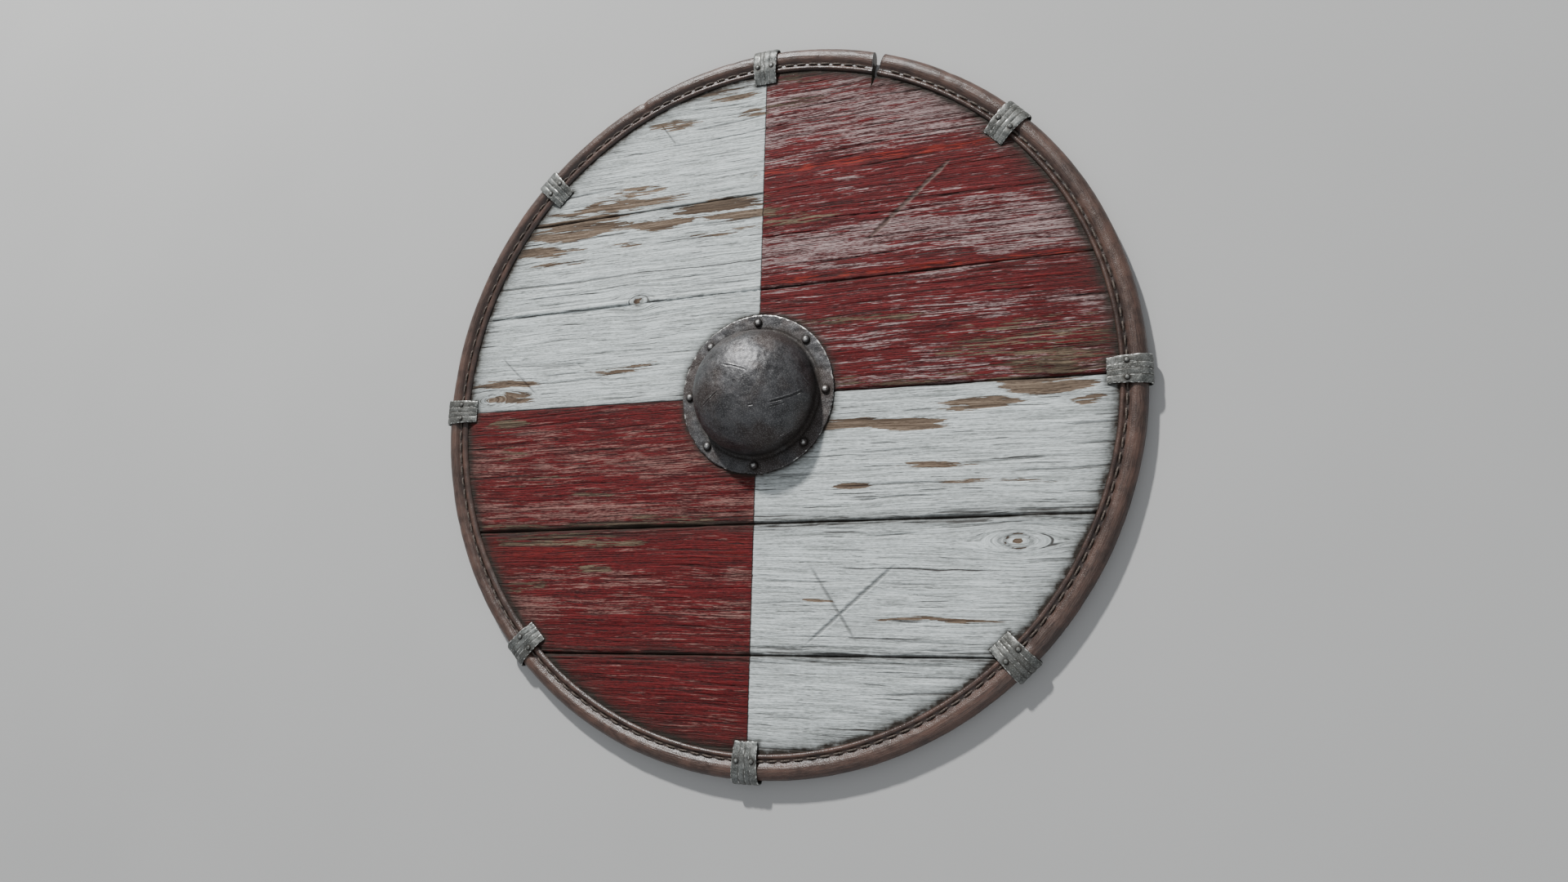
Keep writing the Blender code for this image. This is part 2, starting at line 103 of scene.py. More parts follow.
# %% A helper that adds shader nodes
class Nodes:
    """Adds nodes to one node tree and links them as they are made."""

    def __init__(self, tree):
        self.tree = tree

    def feed(self, socket, value):
        if isinstance(value, bpy.types.NodeSocket):
            self.tree.links.new(value, socket)
        else:
            socket.default_value = value

    def add(self, kind, values, output=0, **settings):
        node = self.tree.nodes.new("ShaderNode" + kind)
        for name, setting in settings.items():
            setattr(node, name, setting)
        for key, value in values.items():
            self.feed(node.inputs[key], value)
        return node.outputs[output]

    def maths(self, operation, first, second=0.0, clamp=False):
        return self.add("Math", {0: first, 1: second}, operation=operation, use_clamp=clamp)

    def plus(self, first, second):
        return self.maths("ADD", first, second)

    def minus(self, first, second):
        return self.maths("SUBTRACT", first, second)

    def times(self, first, second, clamp=False):
        return self.maths("MULTIPLY", first, second, clamp=clamp)

    def larger(self, first, second):
        return self.maths("MAXIMUM", first, second)

    def total(self, *parts, start=0.0):
        """The sum of several values, each times its own weight, from a start."""
        for value, weight in parts:
            start = self.plus(start, self.times(value, weight))
        return start

    def mix(self, share, first, second):
        """A colour between two colours."""
        return self.add("Mix", {0: share, 6: first, 7: second}, output=2, data_type="RGBA")

    def step(self, value, low, high):
        """0 up to low, 1 from high on, and a soft change between them."""
        return self.add("MapRange", {"Value": value, "From Min": low, "From Max": high},
                        interpolation_type="SMOOTHSTEP")

    def noise(self, vector, scale, detail=2.0, roughness=0.5):
        return self.add("TexNoise", {"Vector": vector, "Scale": scale, "Detail": detail,
                                     "Roughness": roughness})

    def group(self, tree, values, output=0):
        node = self.tree.nodes.new("ShaderNodeGroup")
        node.node_tree = tree
        for key, value in values.items():
            self.feed(node.inputs[key], value)
        return node.outputs[output]

    def attribute(self, name, output="Fac"):
        return self.add("Attribute", {}, output=output, attribute_name=name)

    def place(self):
        """Where the point is, in the piece's own metres."""
        return self.add("TexCoord", {}, output="Object")


def rgb(red, green, blue):
    return (red, green, blue, 1.0)


# %% [markdown]
# An effect that several materials share is a node group: a box of nodes with named inputs and
# outputs, built once. The first one makes streaks. Wood grain, worn paint and scuffed leather are all
# noise that is stretched one way, so the group takes the length and the width of a streak. A helper
# under it places the group in a material in one line.

# %% Group: streaks along the grain
def new_group(name, inputs, outputs):
    """An empty group, its nodes helper, what comes in and what goes out."""
    tree = bpy.data.node_groups.new(name, "ShaderNodeTree")
    for label, kind, default in inputs:
        tree.interface.new_socket(label, in_out="INPUT", socket_type=kind).default_value = default
    for label, kind in outputs:
        tree.interface.new_socket(label, in_out="OUTPUT", socket_type=kind)
    entry = tree.nodes.new("NodeGroupInput").outputs
    leave = tree.nodes.new("NodeGroupOutput").inputs
    return tree, Nodes(tree), entry, leave


NUMBER, PLACE, COLOUR = "NodeSocketFloat", "NodeSocketVector", "NodeSocketColor"

streaks, add, entry, leave = new_group(
    "streaks",
    [("Grain", PLACE, (0, 0, 0)), ("Length", NUMBER, 0.1), ("Width", NUMBER, 0.004),
     ("Seed", NUMBER, 0.0), ("Detail", NUMBER, 3.0)],
    [("Share", NUMBER)],
)
split = add.tree.nodes.new("ShaderNodeSeparateXYZ")
add.feed(split.inputs[0], entry["Grain"])
stretched = add.add("CombineXYZ", {
    0: add.maths("DIVIDE", split.outputs[0], entry["Length"]),
    1: add.maths("DIVIDE", split.outputs[1], entry["Width"]),
    2: entry["Seed"],
})
add.feed(leave["Share"], add.noise(stretched, 1.0, entry["Detail"], 0.58))
print("group made:", streaks.name)


def streaky(add, grain, length, width, seed=0.0, detail=3.0):
    """Streaks of a length and a width in metres, from the group."""
    return add.group(streaks, {"Grain": grain, "Length": length, "Width": width, "Seed": seed,
                               "Detail": detail})


# %% [markdown]
# Bare weathered wood is grey-brown. Its soft early growth wears low and holds dirt, and its hard late
# growth stands up as pale ridges. Both the worn patches of the front and the whole back of the shield
# need it, and so does the handle, so it is a group that puts out a colour and a height.

# %% Group: bare wood
bare_wood, add, entry, leave = new_group(
    "bare_wood",
    [("Grain", PLACE, (0, 0, 0)), ("Dark", COLOUR, rgb(0.07, 0.055, 0.045)),
     ("Light", COLOUR, rgb(0.25, 0.21, 0.175)), ("Seed", NUMBER, 0.0)],
    [("Colour", COLOUR), ("Height", NUMBER)],
)
broad = streaky(add, entry["Grain"], 0.22, 0.012, entry["Seed"])
rings = streaky(add, entry["Grain"], 0.09, 0.0021, add.plus(entry["Seed"], 4.0))
pores = streaky(add, entry["Grain"], 0.016, 0.0007, add.plus(entry["Seed"], 9.0))
tone = add.total((broad, 0.45), (rings, 0.55))
shade = add.mix(add.step(tone, 0.36, 0.62), entry["Dark"], entry["Light"])
shade = add.mix(add.times(add.step(pores, 0.56, 0.70), 0.55), shade, entry["Dark"])
add.feed(leave["Colour"], shade)
add.feed(leave["Height"], add.minus(rings, add.times(pores, 0.35)))
print("group made:", bare_wood.name)

# %% [markdown]
# Fine cracks run along the grain. Plain noise gives rings and hooks, which wood never has, so here the
# board is divided into narrow strips that follow the grain and wander a little. Each strip holds one
# crack in its middle, and a noise along the strip says where that crack opens and where it closes.

# %% Group: fine cracks
fine_cracks, add, entry, leave = new_group(
    "fine_cracks",
    [("Grain", PLACE, (0, 0, 0)), ("Spacing", NUMBER, 0.005), ("Width", NUMBER, 0.0004),
     ("Length", NUMBER, 0.04), ("Amount", NUMBER, 0.4), ("Seed", NUMBER, 0.0)],
    [("Crack", NUMBER)],
)
split = add.tree.nodes.new("ShaderNodeSeparateXYZ")
add.feed(split.inputs[0], entry["Grain"])
wander = streaky(add, entry["Grain"], 0.09, 0.016, entry["Seed"])
wandering = add.times(add.minus(wander, 0.5), 0.006)
strip = add.maths("DIVIDE", add.plus(split.outputs[1], wandering), entry["Spacing"])
opening = add.noise(add.add("CombineXYZ", {
    0: add.maths("DIVIDE", split.outputs[0], entry["Length"]),
    1: add.times(add.maths("FLOOR", strip), 7.31),
    2: entry["Seed"],
}), 1.0, 2.0)
rare = add.minus(0.68, add.times(entry["Amount"], 0.4))
open_here = add.step(opening, rare, add.plus(rare, 0.09))
off_middle = add.maths("ABSOLUTE", add.minus(add.maths("FRACT", strip), 0.5))
off_middle = add.times(off_middle, entry["Spacing"])
reach = add.plus(add.times(entry["Width"], open_here), 0.00001)
line = add.minus(1.0, add.step(off_middle, add.times(reach, 0.3), reach))
add.feed(leave["Crack"], add.times(line, open_here))
print("group made:", fine_cracks.name)

# %% [markdown]
# Dirt gathers where a hand or a rag can't reach: along the edging, round the clips and the boss and
# in the joints. The same places are also darkened for the shade that falls there, so this darkening
# is both dirt and painted shade. How much there is comes from each piece as a number at every
# point. The group breaks it up with noise and darkens the colour under it, without hiding it
# altogether.

# %% Group: grime and painted shade
grime_and_shade, add, entry, leave = new_group(
    "grime_and_shade",
    [("Colour", COLOUR, rgb(0.5, 0.5, 0.5)), ("Dirt", NUMBER, 0.0), ("Place", PLACE, (0, 0, 0)),
     ("Soil and shade", COLOUR, rgb(0.03, 0.024, 0.019))],
    [("Colour", COLOUR), ("Cover", NUMBER)],
)
blotch = add.noise(entry["Place"], 70.0, 4.0, 0.65)
uneven = add.plus(0.35, add.times(blotch, 1.3))
cover = add.times(entry["Dirt"], uneven, clamp=True)
add.feed(leave["Cover"], cover)
add.feed(leave["Colour"], add.mix(cover, entry["Colour"], entry["Soil and shade"]))
print("group made:", grime_and_shade.name)

# %% [markdown]
# Forged iron is never one grey. It has a dark scale left by the fire, patches of brown, small pits
# and a bright metal edge where it gets knocked. The group gives a colour, a roughness and a height,
# and takes its four tones, so clips and boss share it but don't look the same.

# %% Group: forged iron
forged_iron, add, entry, leave = new_group(
    "forged_iron",
    [("Place", PLACE, (0, 0, 0)), ("Scale", COLOUR, rgb(0.1, 0.1, 0.1)),
     ("Metal", COLOUR, rgb(0.3, 0.3, 0.3)), ("Bright", COLOUR, rgb(0.7, 0.7, 0.68)),
     ("Rust", COLOUR, rgb(0.09, 0.06, 0.045)), ("Wear", NUMBER, 0.0), ("Rusty", NUMBER, 0.3)],
    [("Colour", COLOUR), ("Roughness", NUMBER), ("Height", NUMBER)],
)
cloud = add.noise(entry["Place"], 60.0, 5.0, 0.62)
speck = add.noise(entry["Place"], 420.0, 3.0, 0.6)
patch = add.noise(entry["Place"], 22.0, 3.0, 0.5)
metal = add.mix(add.step(cloud, 0.36, 0.64), entry["Scale"], entry["Metal"])
rusted = add.times(add.step(patch, 0.42, 0.62), entry["Rusty"])
metal = add.mix(rusted, metal, entry["Rust"])
metal = add.mix(add.times(add.step(speck, 0.60, 0.72), 0.6), metal, entry["Scale"])
grit = add.noise(entry["Place"], 800.0, 2.0, 0.6)
metal = add.mix(add.times(add.step(grit, 0.48, 0.66), 0.20), metal, entry["Bright"])
knocked = add.step(add.plus(entry["Wear"], add.times(speck, 0.9)), 0.85, 1.12)
add.feed(leave["Colour"], add.mix(knocked, metal, entry["Bright"]))
rough = add.total((cloud, 0.28), (rusted, 0.25), (knocked, -0.12), start=0.34)
add.feed(leave["Roughness"], rough)
dimple = add.add("TexVoronoi", {"Vector": entry["Place"], "Scale": 150.0}, feature="SMOOTH_F1")
relief = add.total((cloud, 0.5), (speck, 0.6), (grit, 0.15), (dimple, 1.7))
add.feed(leave["Height"], relief)
print("group made:", forged_iron.name)

# %% [markdown]
# A material here always has the same end: a Principled shader with a bump under it. Heights are
# counted in tenths of a millimetre, so the bump's distance is that long.

# %% A helper that ends a material
TENTH = 0.0001


def new_material(name):
    material = bpy.data.materials.new(name)
    material.use_nodes = True
    return material, Nodes(material.node_tree)


def end_material(material, colour, roughness, height, metallic=0.0, specular=0.5):
    """Feeds colour, roughness and a height in tenths of a millimetre to the Principled shader."""
    nodes = Nodes(material.node_tree)
    shader = material.node_tree.nodes["Principled BSDF"]
    nodes.feed(shader.inputs["Base Color"], colour)
    nodes.feed(shader.inputs["Roughness"], roughness)
    shader.inputs["Metallic"].default_value = metallic
    shader.inputs["Specular IOR Level"].default_value = specular
    bump = nodes.add("Bump", {"Height": height, "Distance": TENTH, "Strength": 1.0})
    nodes.feed(shader.inputs["Normal"], bump)
    print("material made:", material.name)
    return material


# %% [markdown]
# The painted front has four layers: bare wood, red or off-white paint, a chalky film where the
# red has faded, and dirt, which along the edging, the boss, the clips and the joints is also painted
# shade. The quarters are cut by the middle joint and an upright line. The paint leaves in long
# flakes, so its mask is streaky noise with a hard edge, and each plank tells at every point how
# worn, faded, dirty or shaded, cracked or scraped it is. Paint has a thickness, so its mask also
# goes into the bump, and each flake gets an edge. Both paints are painted darker in the hollows of
# the grain and lighter on its crests, and bare wood darker in its hollows: painted shade and
# painted highlight of the relief.

# %% Painted planks: where the paint is, and which
material, add = new_material("painted_planks")
place = add.place()
grain = add.attribute("grain", "Vector")
worn, faded = add.attribute("worn"), add.attribute("faded")
dirt, cut = add.attribute("dirt"), add.attribute("cut")
axes = add.tree.nodes.new("ShaderNodeSeparateXYZ")
add.feed(axes.inputs[0], place)

shaky = add.times(add.minus(add.noise(place, 260.0), 0.5), 0.0012)
across = add.plus(axes.outputs[0], shaky)
right = add.step(across, 0.0003, 0.0011)
lower = add.step(axes.outputs[1], -0.0016, -0.0024)
red = add.maths("ABSOLUTE", add.minus(right, lower))

flake_long = streaky(add, grain, 0.10, 0.0060, detail=4.0)
flake_thin = streaky(add, grain, 0.032, 0.0019, 3.0)
hair = streaky(add, grain, 0.030, 0.00060, 16.0, detail=4.0)
flaking = add.total((flake_long, 0.44), (flake_thin, 0.42), (hair, 0.14), (worn, 0.29))
bare = add.step(flaking, 0.655, 0.668)

# %% Painted planks: the ridges that the weather left, and the two paints
ridge = streaky(add, grain, 0.14, 0.0036, 7.0)
thread = streaky(add, grain, 0.060, 0.0013, 12.0)
fleck = streaky(add, grain, 0.0060, 0.0011, 27.0, detail=4.0)
crest = add.total((ridge, 0.20), (thread, 0.28), (hair, 0.27), (fleck, 0.25))

smudge = add.noise(place, 24.0, 4.0, 0.6)
# The white is painted darker in the hollows of the grain and lighter on its crests, the same ridges that
# the bump raises: painted shade and painted highlight of the relief.
white = add.mix(add.step(crest, 0.405, 0.585), rgb(0.27, 0.290, 0.280), rgb(0.82, 0.885, 0.89))
white = add.mix(add.times(add.step(smudge, 0.48, 0.76), 0.35), white,
                rgb(0.43, 0.455, 0.45))

film_small = streaky(add, grain, 0.030, 0.0017, 20.0, detail=4.0)
film_large = streaky(add, grain, 0.085, 0.0052, 22.0)
filmed = add.total((film_small, 0.55), (film_large, 0.45), (faded, 0.17))
film = add.step(filmed, 0.570, 0.605)
film = add.times(film, add.plus(0.12, add.step(crest, 0.445, 0.520)), clamp=True)
# The red and its chalk are painted darker in the hollows and lighter on the crests too: painted shade
# and painted highlight.
deep = add.mix(add.step(crest, 0.41, 0.57), rgb(0.030, 0.003, 0.004), rgb(0.170, 0.013, 0.015))
chalk = add.mix(add.step(crest, 0.43, 0.57), rgb(0.13, 0.055, 0.052), rgb(0.44, 0.325, 0.320))
thin_chalk = add.mix(add.step(crest, 0.43, 0.57), rgb(0.10, 0.028, 0.026), rgb(0.30, 0.150, 0.130))
chalk = add.mix(right, thin_chalk, chalk)
red_paint = add.mix(film, deep, chalk)
vivid = add.times(add.step(faded, -0.10, -0.30), add.step(flake_thin, 0.50, 0.56))
vivid = add.times(vivid, add.plus(0.25, add.times(right, 0.75)))
red_paint = add.mix(vivid, red_paint, rgb(0.27, 0.026, 0.016))

# %% Painted planks: wood, cracks and dirt over them
paint = add.mix(red, white, red_paint)
wood_tint = add.mix(red, rgb(0.28, 0.210, 0.155), rgb(0.235, 0.180, 0.122))
wood_dark = add.mix(red, rgb(0.085, 0.058, 0.040), rgb(0.060, 0.038, 0.026))
wood = add.group(bare_wood, {"Grain": grain, "Dark": wood_dark, "Light": wood_tint})
# Bare wood is painted darker in the hollows of the grain: painted shade.
wood = add.mix(add.times(add.step(crest, 0.535, 0.435), 0.80), wood, wood_dark)
surface = add.mix(bare, paint, wood)
scraped = add.attribute("scraped")
surface = add.mix(scraped, surface, add.mix(thread, rgb(0.085, 0.050, 0.044), rgb(0.21, 0.140, 0.122)))

more_in_red = add.times(red, 0.17)
hairs = add.group(fine_cracks, {"Grain": grain, "Spacing": 0.0027, "Width": 0.00045,
                                "Length": 0.020, "Amount": add.plus(0.30, more_in_red),
                                "Seed": 40.0})
cracks = add.group(fine_cracks, {"Grain": grain, "Spacing": 0.0068, "Width": 0.00065,
                                 "Length": 0.060, "Amount": add.plus(0.34, more_in_red),
                                 "Seed": 44.0})
splits = add.group(fine_cracks, {"Grain": grain, "Spacing": 0.0190, "Width": 0.00095,
                                 "Length": 0.16, "Amount": 0.32, "Seed": 48.0})
border = add.maths("ABSOLUTE", add.minus(across, 0.0008))
border = add.minus(1.0, add.step(border, 0.0004, 0.0011))
dark = add.larger(add.times(hairs, 0.55), add.times(cracks, 0.80))
dark = add.larger(dark, add.times(splits, 0.90))
dark = add.larger(dark, add.larger(cut, add.times(border, 0.75)))
surface = add.mix(dark, surface, rgb(0.024, 0.016, 0.014))
surface = add.group(grime_and_shade, {"Colour": surface, "Dirt": dirt, "Place": place})

# %% Painted planks: the bump and the end of the material
ridges = add.total((ridge, 9.0), (thread, 6.0), (hair, 3.0), (fleck, 2.4))
ridges = add.times(ridges, add.total((red, 0.75), start=0.85))
height = add.total((bare, -1.6), (add.times(film, red), 0.9), (dark, -4.5), start=ridges)
roughness = add.plus(0.62, add.times(bare, 0.18))
PAINTED = end_material(material, surface, roughness, height, specular=0.20)

# %% [markdown]
# The back of the planks was never painted. It is the same wood, paler and plainer, so the wood
# group does the work, with a little dirt and a few cracks.

# %% Material: bare back of the planks
material, add = new_material("bare_planks")
place = add.place()
grain = add.attribute("grain", "Vector")
wood = add.group(bare_wood, {"Grain": grain, "Dark": rgb(0.095, 0.070, 0.050),
                             "Light": rgb(0.30, 0.235, 0.170), "Seed": 60.0})
wood_height = add.group(bare_wood, {"Grain": grain, "Seed": 60.0}, output="Height")
splits = add.group(fine_cracks, {"Grain": grain, "Spacing": 0.011, "Width": 0.0008,
                                 "Length": 0.09, "Amount": 0.35, "Seed": 70.0})
dark = add.larger(add.attribute("cut"), add.times(splits, 0.8))
surface = add.mix(dark, wood, rgb(0.025, 0.018, 0.014))
surface = add.group(grime_and_shade, {"Colour": surface, "Dirt": add.attribute("dirt"), "Place": place})
height = add.total((wood_height, 8.0), (dark, -4.0))
BACK_WOOD = end_material(material, surface, 0.78, height, specular=0.3)

# %% [markdown]
# A finished piece is a closed mesh whose object sits at the origin.

# %% A helper that finishes a piece
def triangles(mesh):
    return sum(len(polygon.vertices) - 2 for polygon in mesh.polygons)


def as_piece(name, bm, materials, nodes, sharp=38.0):
    mesh = bpy.data.meshes.new(name)
    bm.to_mesh(mesh)
    bm.free()
    mesh.shade_smooth()
    mesh.set_sharp_from_angle(angle=math.radians(sharp))
    for material in materials:
        mesh.materials.append(material)
    piece = new_object(name, mesh)
    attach(piece, "root")
    if nodes:
        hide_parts(*nodes)
    print(name, triangles(mesh), "triangles")
    return piece


def ease(value):
    """0 below 0, 1 above 1, and a smooth change between."""
    share = min(max(value, 0.0), 1.0)
    return share * share * (3.0 - 2.0 * share)


# %% [markdown]
# The planks carry the story of the shield, so what was seen on them is written down here as places
# in metres from the middle of the boss. A worn patch is an ellipse where the paint is thin: the
# shader's streaks then break its outline into flakes. A scratch is a line with a width and a depth.
# A knot pushes the grain aside.

# %% What the years left on the planks
# Middle x and y, half length, half height and how much paint is gone
WORN_PATCHES = (
    (-0.188, 0.272, 0.050, 0.006, 0.60), (-0.205, 0.256, 0.090, 0.008, 0.75),
    (-0.258, 0.240, 0.070, 0.007, 0.80), (-0.266, 0.228, 0.078, 0.007, 0.90),
    (-0.139, 0.225, 0.050, 0.007, 0.85), (-0.058, 0.240, 0.058, 0.007, 0.90),
    (-0.024, 0.222, 0.040, 0.007, 0.90), (-0.303, 0.207, 0.045, 0.008, 0.85),
    (-0.190, 0.203, 0.070, 0.004, 0.55), (-0.045, 0.203, 0.050, 0.003, 0.60),
    (-0.350, 0.033, 0.046, 0.006, 0.90), (-0.340, 0.015, 0.030, 0.007, 0.85),
    (-0.168, 0.042, 0.046, 0.005, 0.65), (-0.123, 0.356, 0.034, 0.008, 0.60),
    (-0.038, 0.379, 0.030, 0.004, 0.70), (-0.018, 0.355, 0.022, 0.005, 0.65),
    (-0.080, 0.391, 0.070, 0.006, 0.70), (-0.290, 0.190, 0.060, 0.004, 0.50),
    (0.322, -0.010, 0.046, 0.009, 0.95), (0.258, -0.026, 0.040, 0.006, 0.90),
    (0.370, -0.028, 0.020, 0.004, 0.80), (0.150, -0.043, 0.076, 0.006, 1.00),
    (0.214, -0.090, 0.040, 0.003, 0.75), (0.116, -0.1115, 0.024, 0.0035, 1.00),
    (0.270, -0.1105, 0.056, 0.002, 0.70), (0.211, -0.2565, 0.055, 0.0025, 0.85),
    (0.078, -0.236, 0.018, 0.002, 0.60), (0.225, -0.385, 0.090, 0.008, 0.55),
    (0.126, 0.080, 0.066, 0.006, 0.60), (0.310, 0.034, 0.100, 0.030, 0.48),
    (0.340, 0.012, 0.080, 0.010, 0.60), (0.048, 0.210, 0.050, 0.010, 0.50),
    (0.036, 0.358, 0.040, 0.007, 0.55), (0.160, 0.006, 0.110, 0.005, 0.55),
    (0.270, 0.103, 0.045, 0.003, 0.45), (0.300, 0.061, 0.040, 0.006, 0.50),
    (0.040, 0.390, 0.060, 0.009, 0.50), (-0.206, -0.113, 0.028, 0.003, 0.70),
    (-0.187, -0.173, 0.045, 0.004, 0.60), (-0.202, -0.200, 0.028, 0.004, 0.75),
    (-0.074, -0.142, 0.040, 0.006, 0.50), (-0.337, -0.018, 0.026, 0.005, 0.95),
    (-0.265, -0.166, 0.085, 0.009, 0.62), (-0.290, -0.090, 0.030, 0.010, 0.35),
    (-0.200, -0.150, 0.150, 0.005, 0.70), (-0.090, -0.140, 0.060, 0.005, 0.60),
    (-0.330, -0.060, 0.024, 0.010, 0.50), (-0.300, -0.222, 0.030, 0.010, 0.50),
)

# Ends, half width, depth and whether it bares wood
SCRATCHES = (
    ((0.070, -0.200), (0.124, -0.281), 0.0024, 0.0011, False),
    ((0.166, -0.197), (0.066, -0.284), 0.0026, 0.0011, False),
    ((-0.142, 0.358), (-0.119, 0.327), 0.0011, 0.0005, False),
    ((-0.357, 0.069), (-0.299, 0.015), 0.0016, 0.0004, False),
    ((0.228, 0.258), (0.130, 0.172), 0.0032, 0.0013, True),
)

# Middle, half length along the grain and half height
KNOTS = (
    ((-0.162, 0.127), 0.0068, 0.0090),
    ((0.296, -0.1735), 0.0165, 0.0100),
    ((-0.368, 0.014), 0.0120, 0.0090),
    ((-0.010, 0.271), 0.0040, 0.0030),
)

# Bands of the red quarters: middle height, half height, and more or less faded
FADED_BANDS = (
    (0.335, 0.030, 0.65), (0.273, 0.003, -1.60), (0.255, 0.012, -0.40), (0.225, 0.014, -0.35),
    (0.175, 0.012, 0.80), (0.150, 0.007, 0.20), (0.134, 0.0025, -1.70), (0.108, 0.012, -0.45),
    (0.045, 0.020, -0.20),
    (-0.070, 0.016, 0.75), (-0.115, 0.010, 0.35), (-0.135, 0.010, 0.70), (-0.180, 0.012, -0.60),
    (-0.215, 0.008, 0.55), (-0.245, 0.010, 0.45), (-0.350, 0.030, -0.30),
)
print(len(WORN_PATCHES), "worn patches,", len(SCRATCHES), "scratches,", len(KNOTS), "knots")

# %% [markdown]
# Each plank is cut from a grid. Its rows are stretched to the round outline between two joints, so
# they follow the grain, and they are far closer together than its columns: weathered wood changes
# fast across the grain and slowly along it. The rows are closest next to a joint, where the edge is
# rounded. The top and the bottom plank end in an arc, which bends their last rows.

# %% Planks: a sheet of rows that follow the grain
# Height at the middle, rise, half width of the crack left and right of the middle, and the soil
# and painted shade beside it
JOINTS = (
    (0.247, 0.018, 0.0013, 0.0000, 0.35),
    (0.126, 0.016, 0.0000, 0.0015, 0.25),
    (-0.002, 0.000, 0.0009, 0.0026, 0.30),
    (-0.151, 0.014, 0.0026, 0.0028, 0.85),
    (-0.297, 0.016, 0.0028, 0.0026, 0.75),
)
ROUND_TOP = (0.412, 0.0)
EDGE_ROWS = (0.0, 0.0004, 0.0009, 0.0015, 0.0022, 0.0031)
ROW_STEP = 0.00112
COLUMN_STEP = 0.0046


def joint_height(joint, x):
    return joint[0] + joint[1] * x


def row_shares(height):
    """Where the rows lie, from 0 at the lower joint to 1 at the upper one."""
    inside = height - 2 * EDGE_ROWS[-1]
    count = round(inside / ROW_STEP)
    places = list(EDGE_ROWS)
    places += [EDGE_ROWS[-1] + inside * number / count for number in range(1, count)]
    places += [height - place for place in reversed(EDGE_ROWS)]
    return [place / height for place in places]


def row_end(upper, lower, share, side):
    """Where a row meets the round outline, on the right (1) or on the left (-1)."""
    x = 0.0
    for _ in range(6):
        y = joint_height(lower, x) * (1 - share) + joint_height(upper, x) * share
        x = side * math.sqrt(BOARD_RADIUS ** 2 - y ** 2)
    return x


def plank_sheet(upper, lower, at_top, at_bottom):
    """The flat front of a plank, as a grid that is stretched to its outline."""
    shares = row_shares(upper[0] - lower[0])
    widest = min(abs(upper[0]), abs(lower[0])) if upper[0] * lower[0] > 0 else 0.0
    length = 2 * math.sqrt(BOARD_RADIUS ** 2 - widest ** 2)
    bm = bmesh.new()
    bmesh.ops.create_grid(bm, x_segments=round(length / COLUMN_STEP), y_segments=len(shares) - 1,
                          size=1.0)
    ends = [(row_end(upper, lower, share, -1), row_end(upper, lower, share, 1)) for share in shares]
    for vert in bm.verts:
        row = round((vert.co.y + 1) / 2 * (len(shares) - 1))
        share = shares[row]
        left, right = ends[row]
        across = (vert.co.x + 1) / 2
        x = left + (right - left) * across
        y = joint_height(lower, x) * (1 - share) + joint_height(upper, x) * share
        bulge = (BOARD_RADIUS - abs(ROUND_TOP[0])) * (1 - vert.co.x ** 2)
        if at_top:
            y += bulge * share ** 8
        if at_bottom:
            y -= bulge * (1 - share) ** 8
        y += JOINT_AIR / 2 * ((1 - share) - share)
        vert.co = (x, y, BOARD_FRONT)
    return bm


# %% [markdown]
# Scratches run across the rows, so the cells near one are divided again. Then the sheet is extruded
# down to the back of the board, which closes it. The blade's cut in the top plank and the hole for
# the hand in the two middle ones are Booleans: a straight cut through a solid is what they are for.

# %% Planks: finer cells at the scratches, then thickness and cuts
def along_scratch(x, y, start, end):
    """The distance to a scratch's line and the share of the way along it."""
    run = Vector(end) - Vector(start)
    place = Vector((x, y)) - Vector(start)
    share = place.dot(run) / run.length_squared
    nearest = run * min(max(share, 0.0), 1.0)
    return (place - nearest).length, share


def refine_near_scratches(bm):
    for start, end, half, _, _ in SCRATCHES:
        near = set()
        for vert in bm.verts:
            if along_scratch(vert.co.x, vert.co.y, start, end)[0] < half + 0.0045:
                near.add(vert)
        edges = [edge for edge in bm.edges if edge.verts[0] in near and edge.verts[1] in near]
        if edges:
            bmesh.ops.subdivide_edges(bm, edges=edges, cuts=2, use_grid_fill=True)


def thicken(bm):
    made = bmesh.ops.extrude_face_region(bm, geom=bm.faces[:])["geom"]
    lowered = [item for item in made if isinstance(item, bmesh.types.BMVert)]
    bmesh.ops.translate(bm, verts=lowered, vec=(0.0, 0.0, BOARD_BACK - BOARD_FRONT))
    bmesh.ops.recalc_face_normals(bm, faces=bm.faces[:])


def block_from_outline(outline):
    """A tall block over a flat outline, to cut with."""
    bm = bmesh.new()
    base = bm.faces.new([bm.verts.new((x, y, BOARD_BACK - 0.01)) for x, y in outline])
    made = bmesh.ops.extrude_face_region(bm, geom=[base])["geom"]
    raised = [item for item in made if isinstance(item, bmesh.types.BMVert)]
    bmesh.ops.translate(bm, verts=raised, vec=(0.0, 0.0, 0.03))
    bmesh.ops.recalc_face_normals(bm, faces=bm.faces[:])
    return bm


def cut_out(bm, cutter_bm):
    """The solid of bm less the solid of the cutter."""
    meshes, objects = [], []
    for name, source in (("to_cut", bm), ("cutter", cutter_bm)):
        mesh = bpy.data.meshes.new(name)
        source.to_mesh(mesh)
        source.free()
        meshes.append(mesh)
        objects.append(new_object(name, mesh))
    cut_modifier = objects[0].modifiers.new("Cut", "BOOLEAN")
    cut_modifier.operation = "DIFFERENCE"
    cut_modifier.solver = "EXACT"
    cut_modifier.object = objects[1]
    bpy.context.view_layer.update()
    graph = bpy.context.evaluated_depsgraph_get()
    result = bpy.data.meshes.new_from_object(objects[0].evaluated_get(graph))
    done = bmesh.new()
    done.from_mesh(result)
    for item in objects:
        bpy.data.objects.remove(item, do_unlink=True)
    for mesh in meshes + [result]:
        bpy.data.meshes.remove(mesh)
    return done


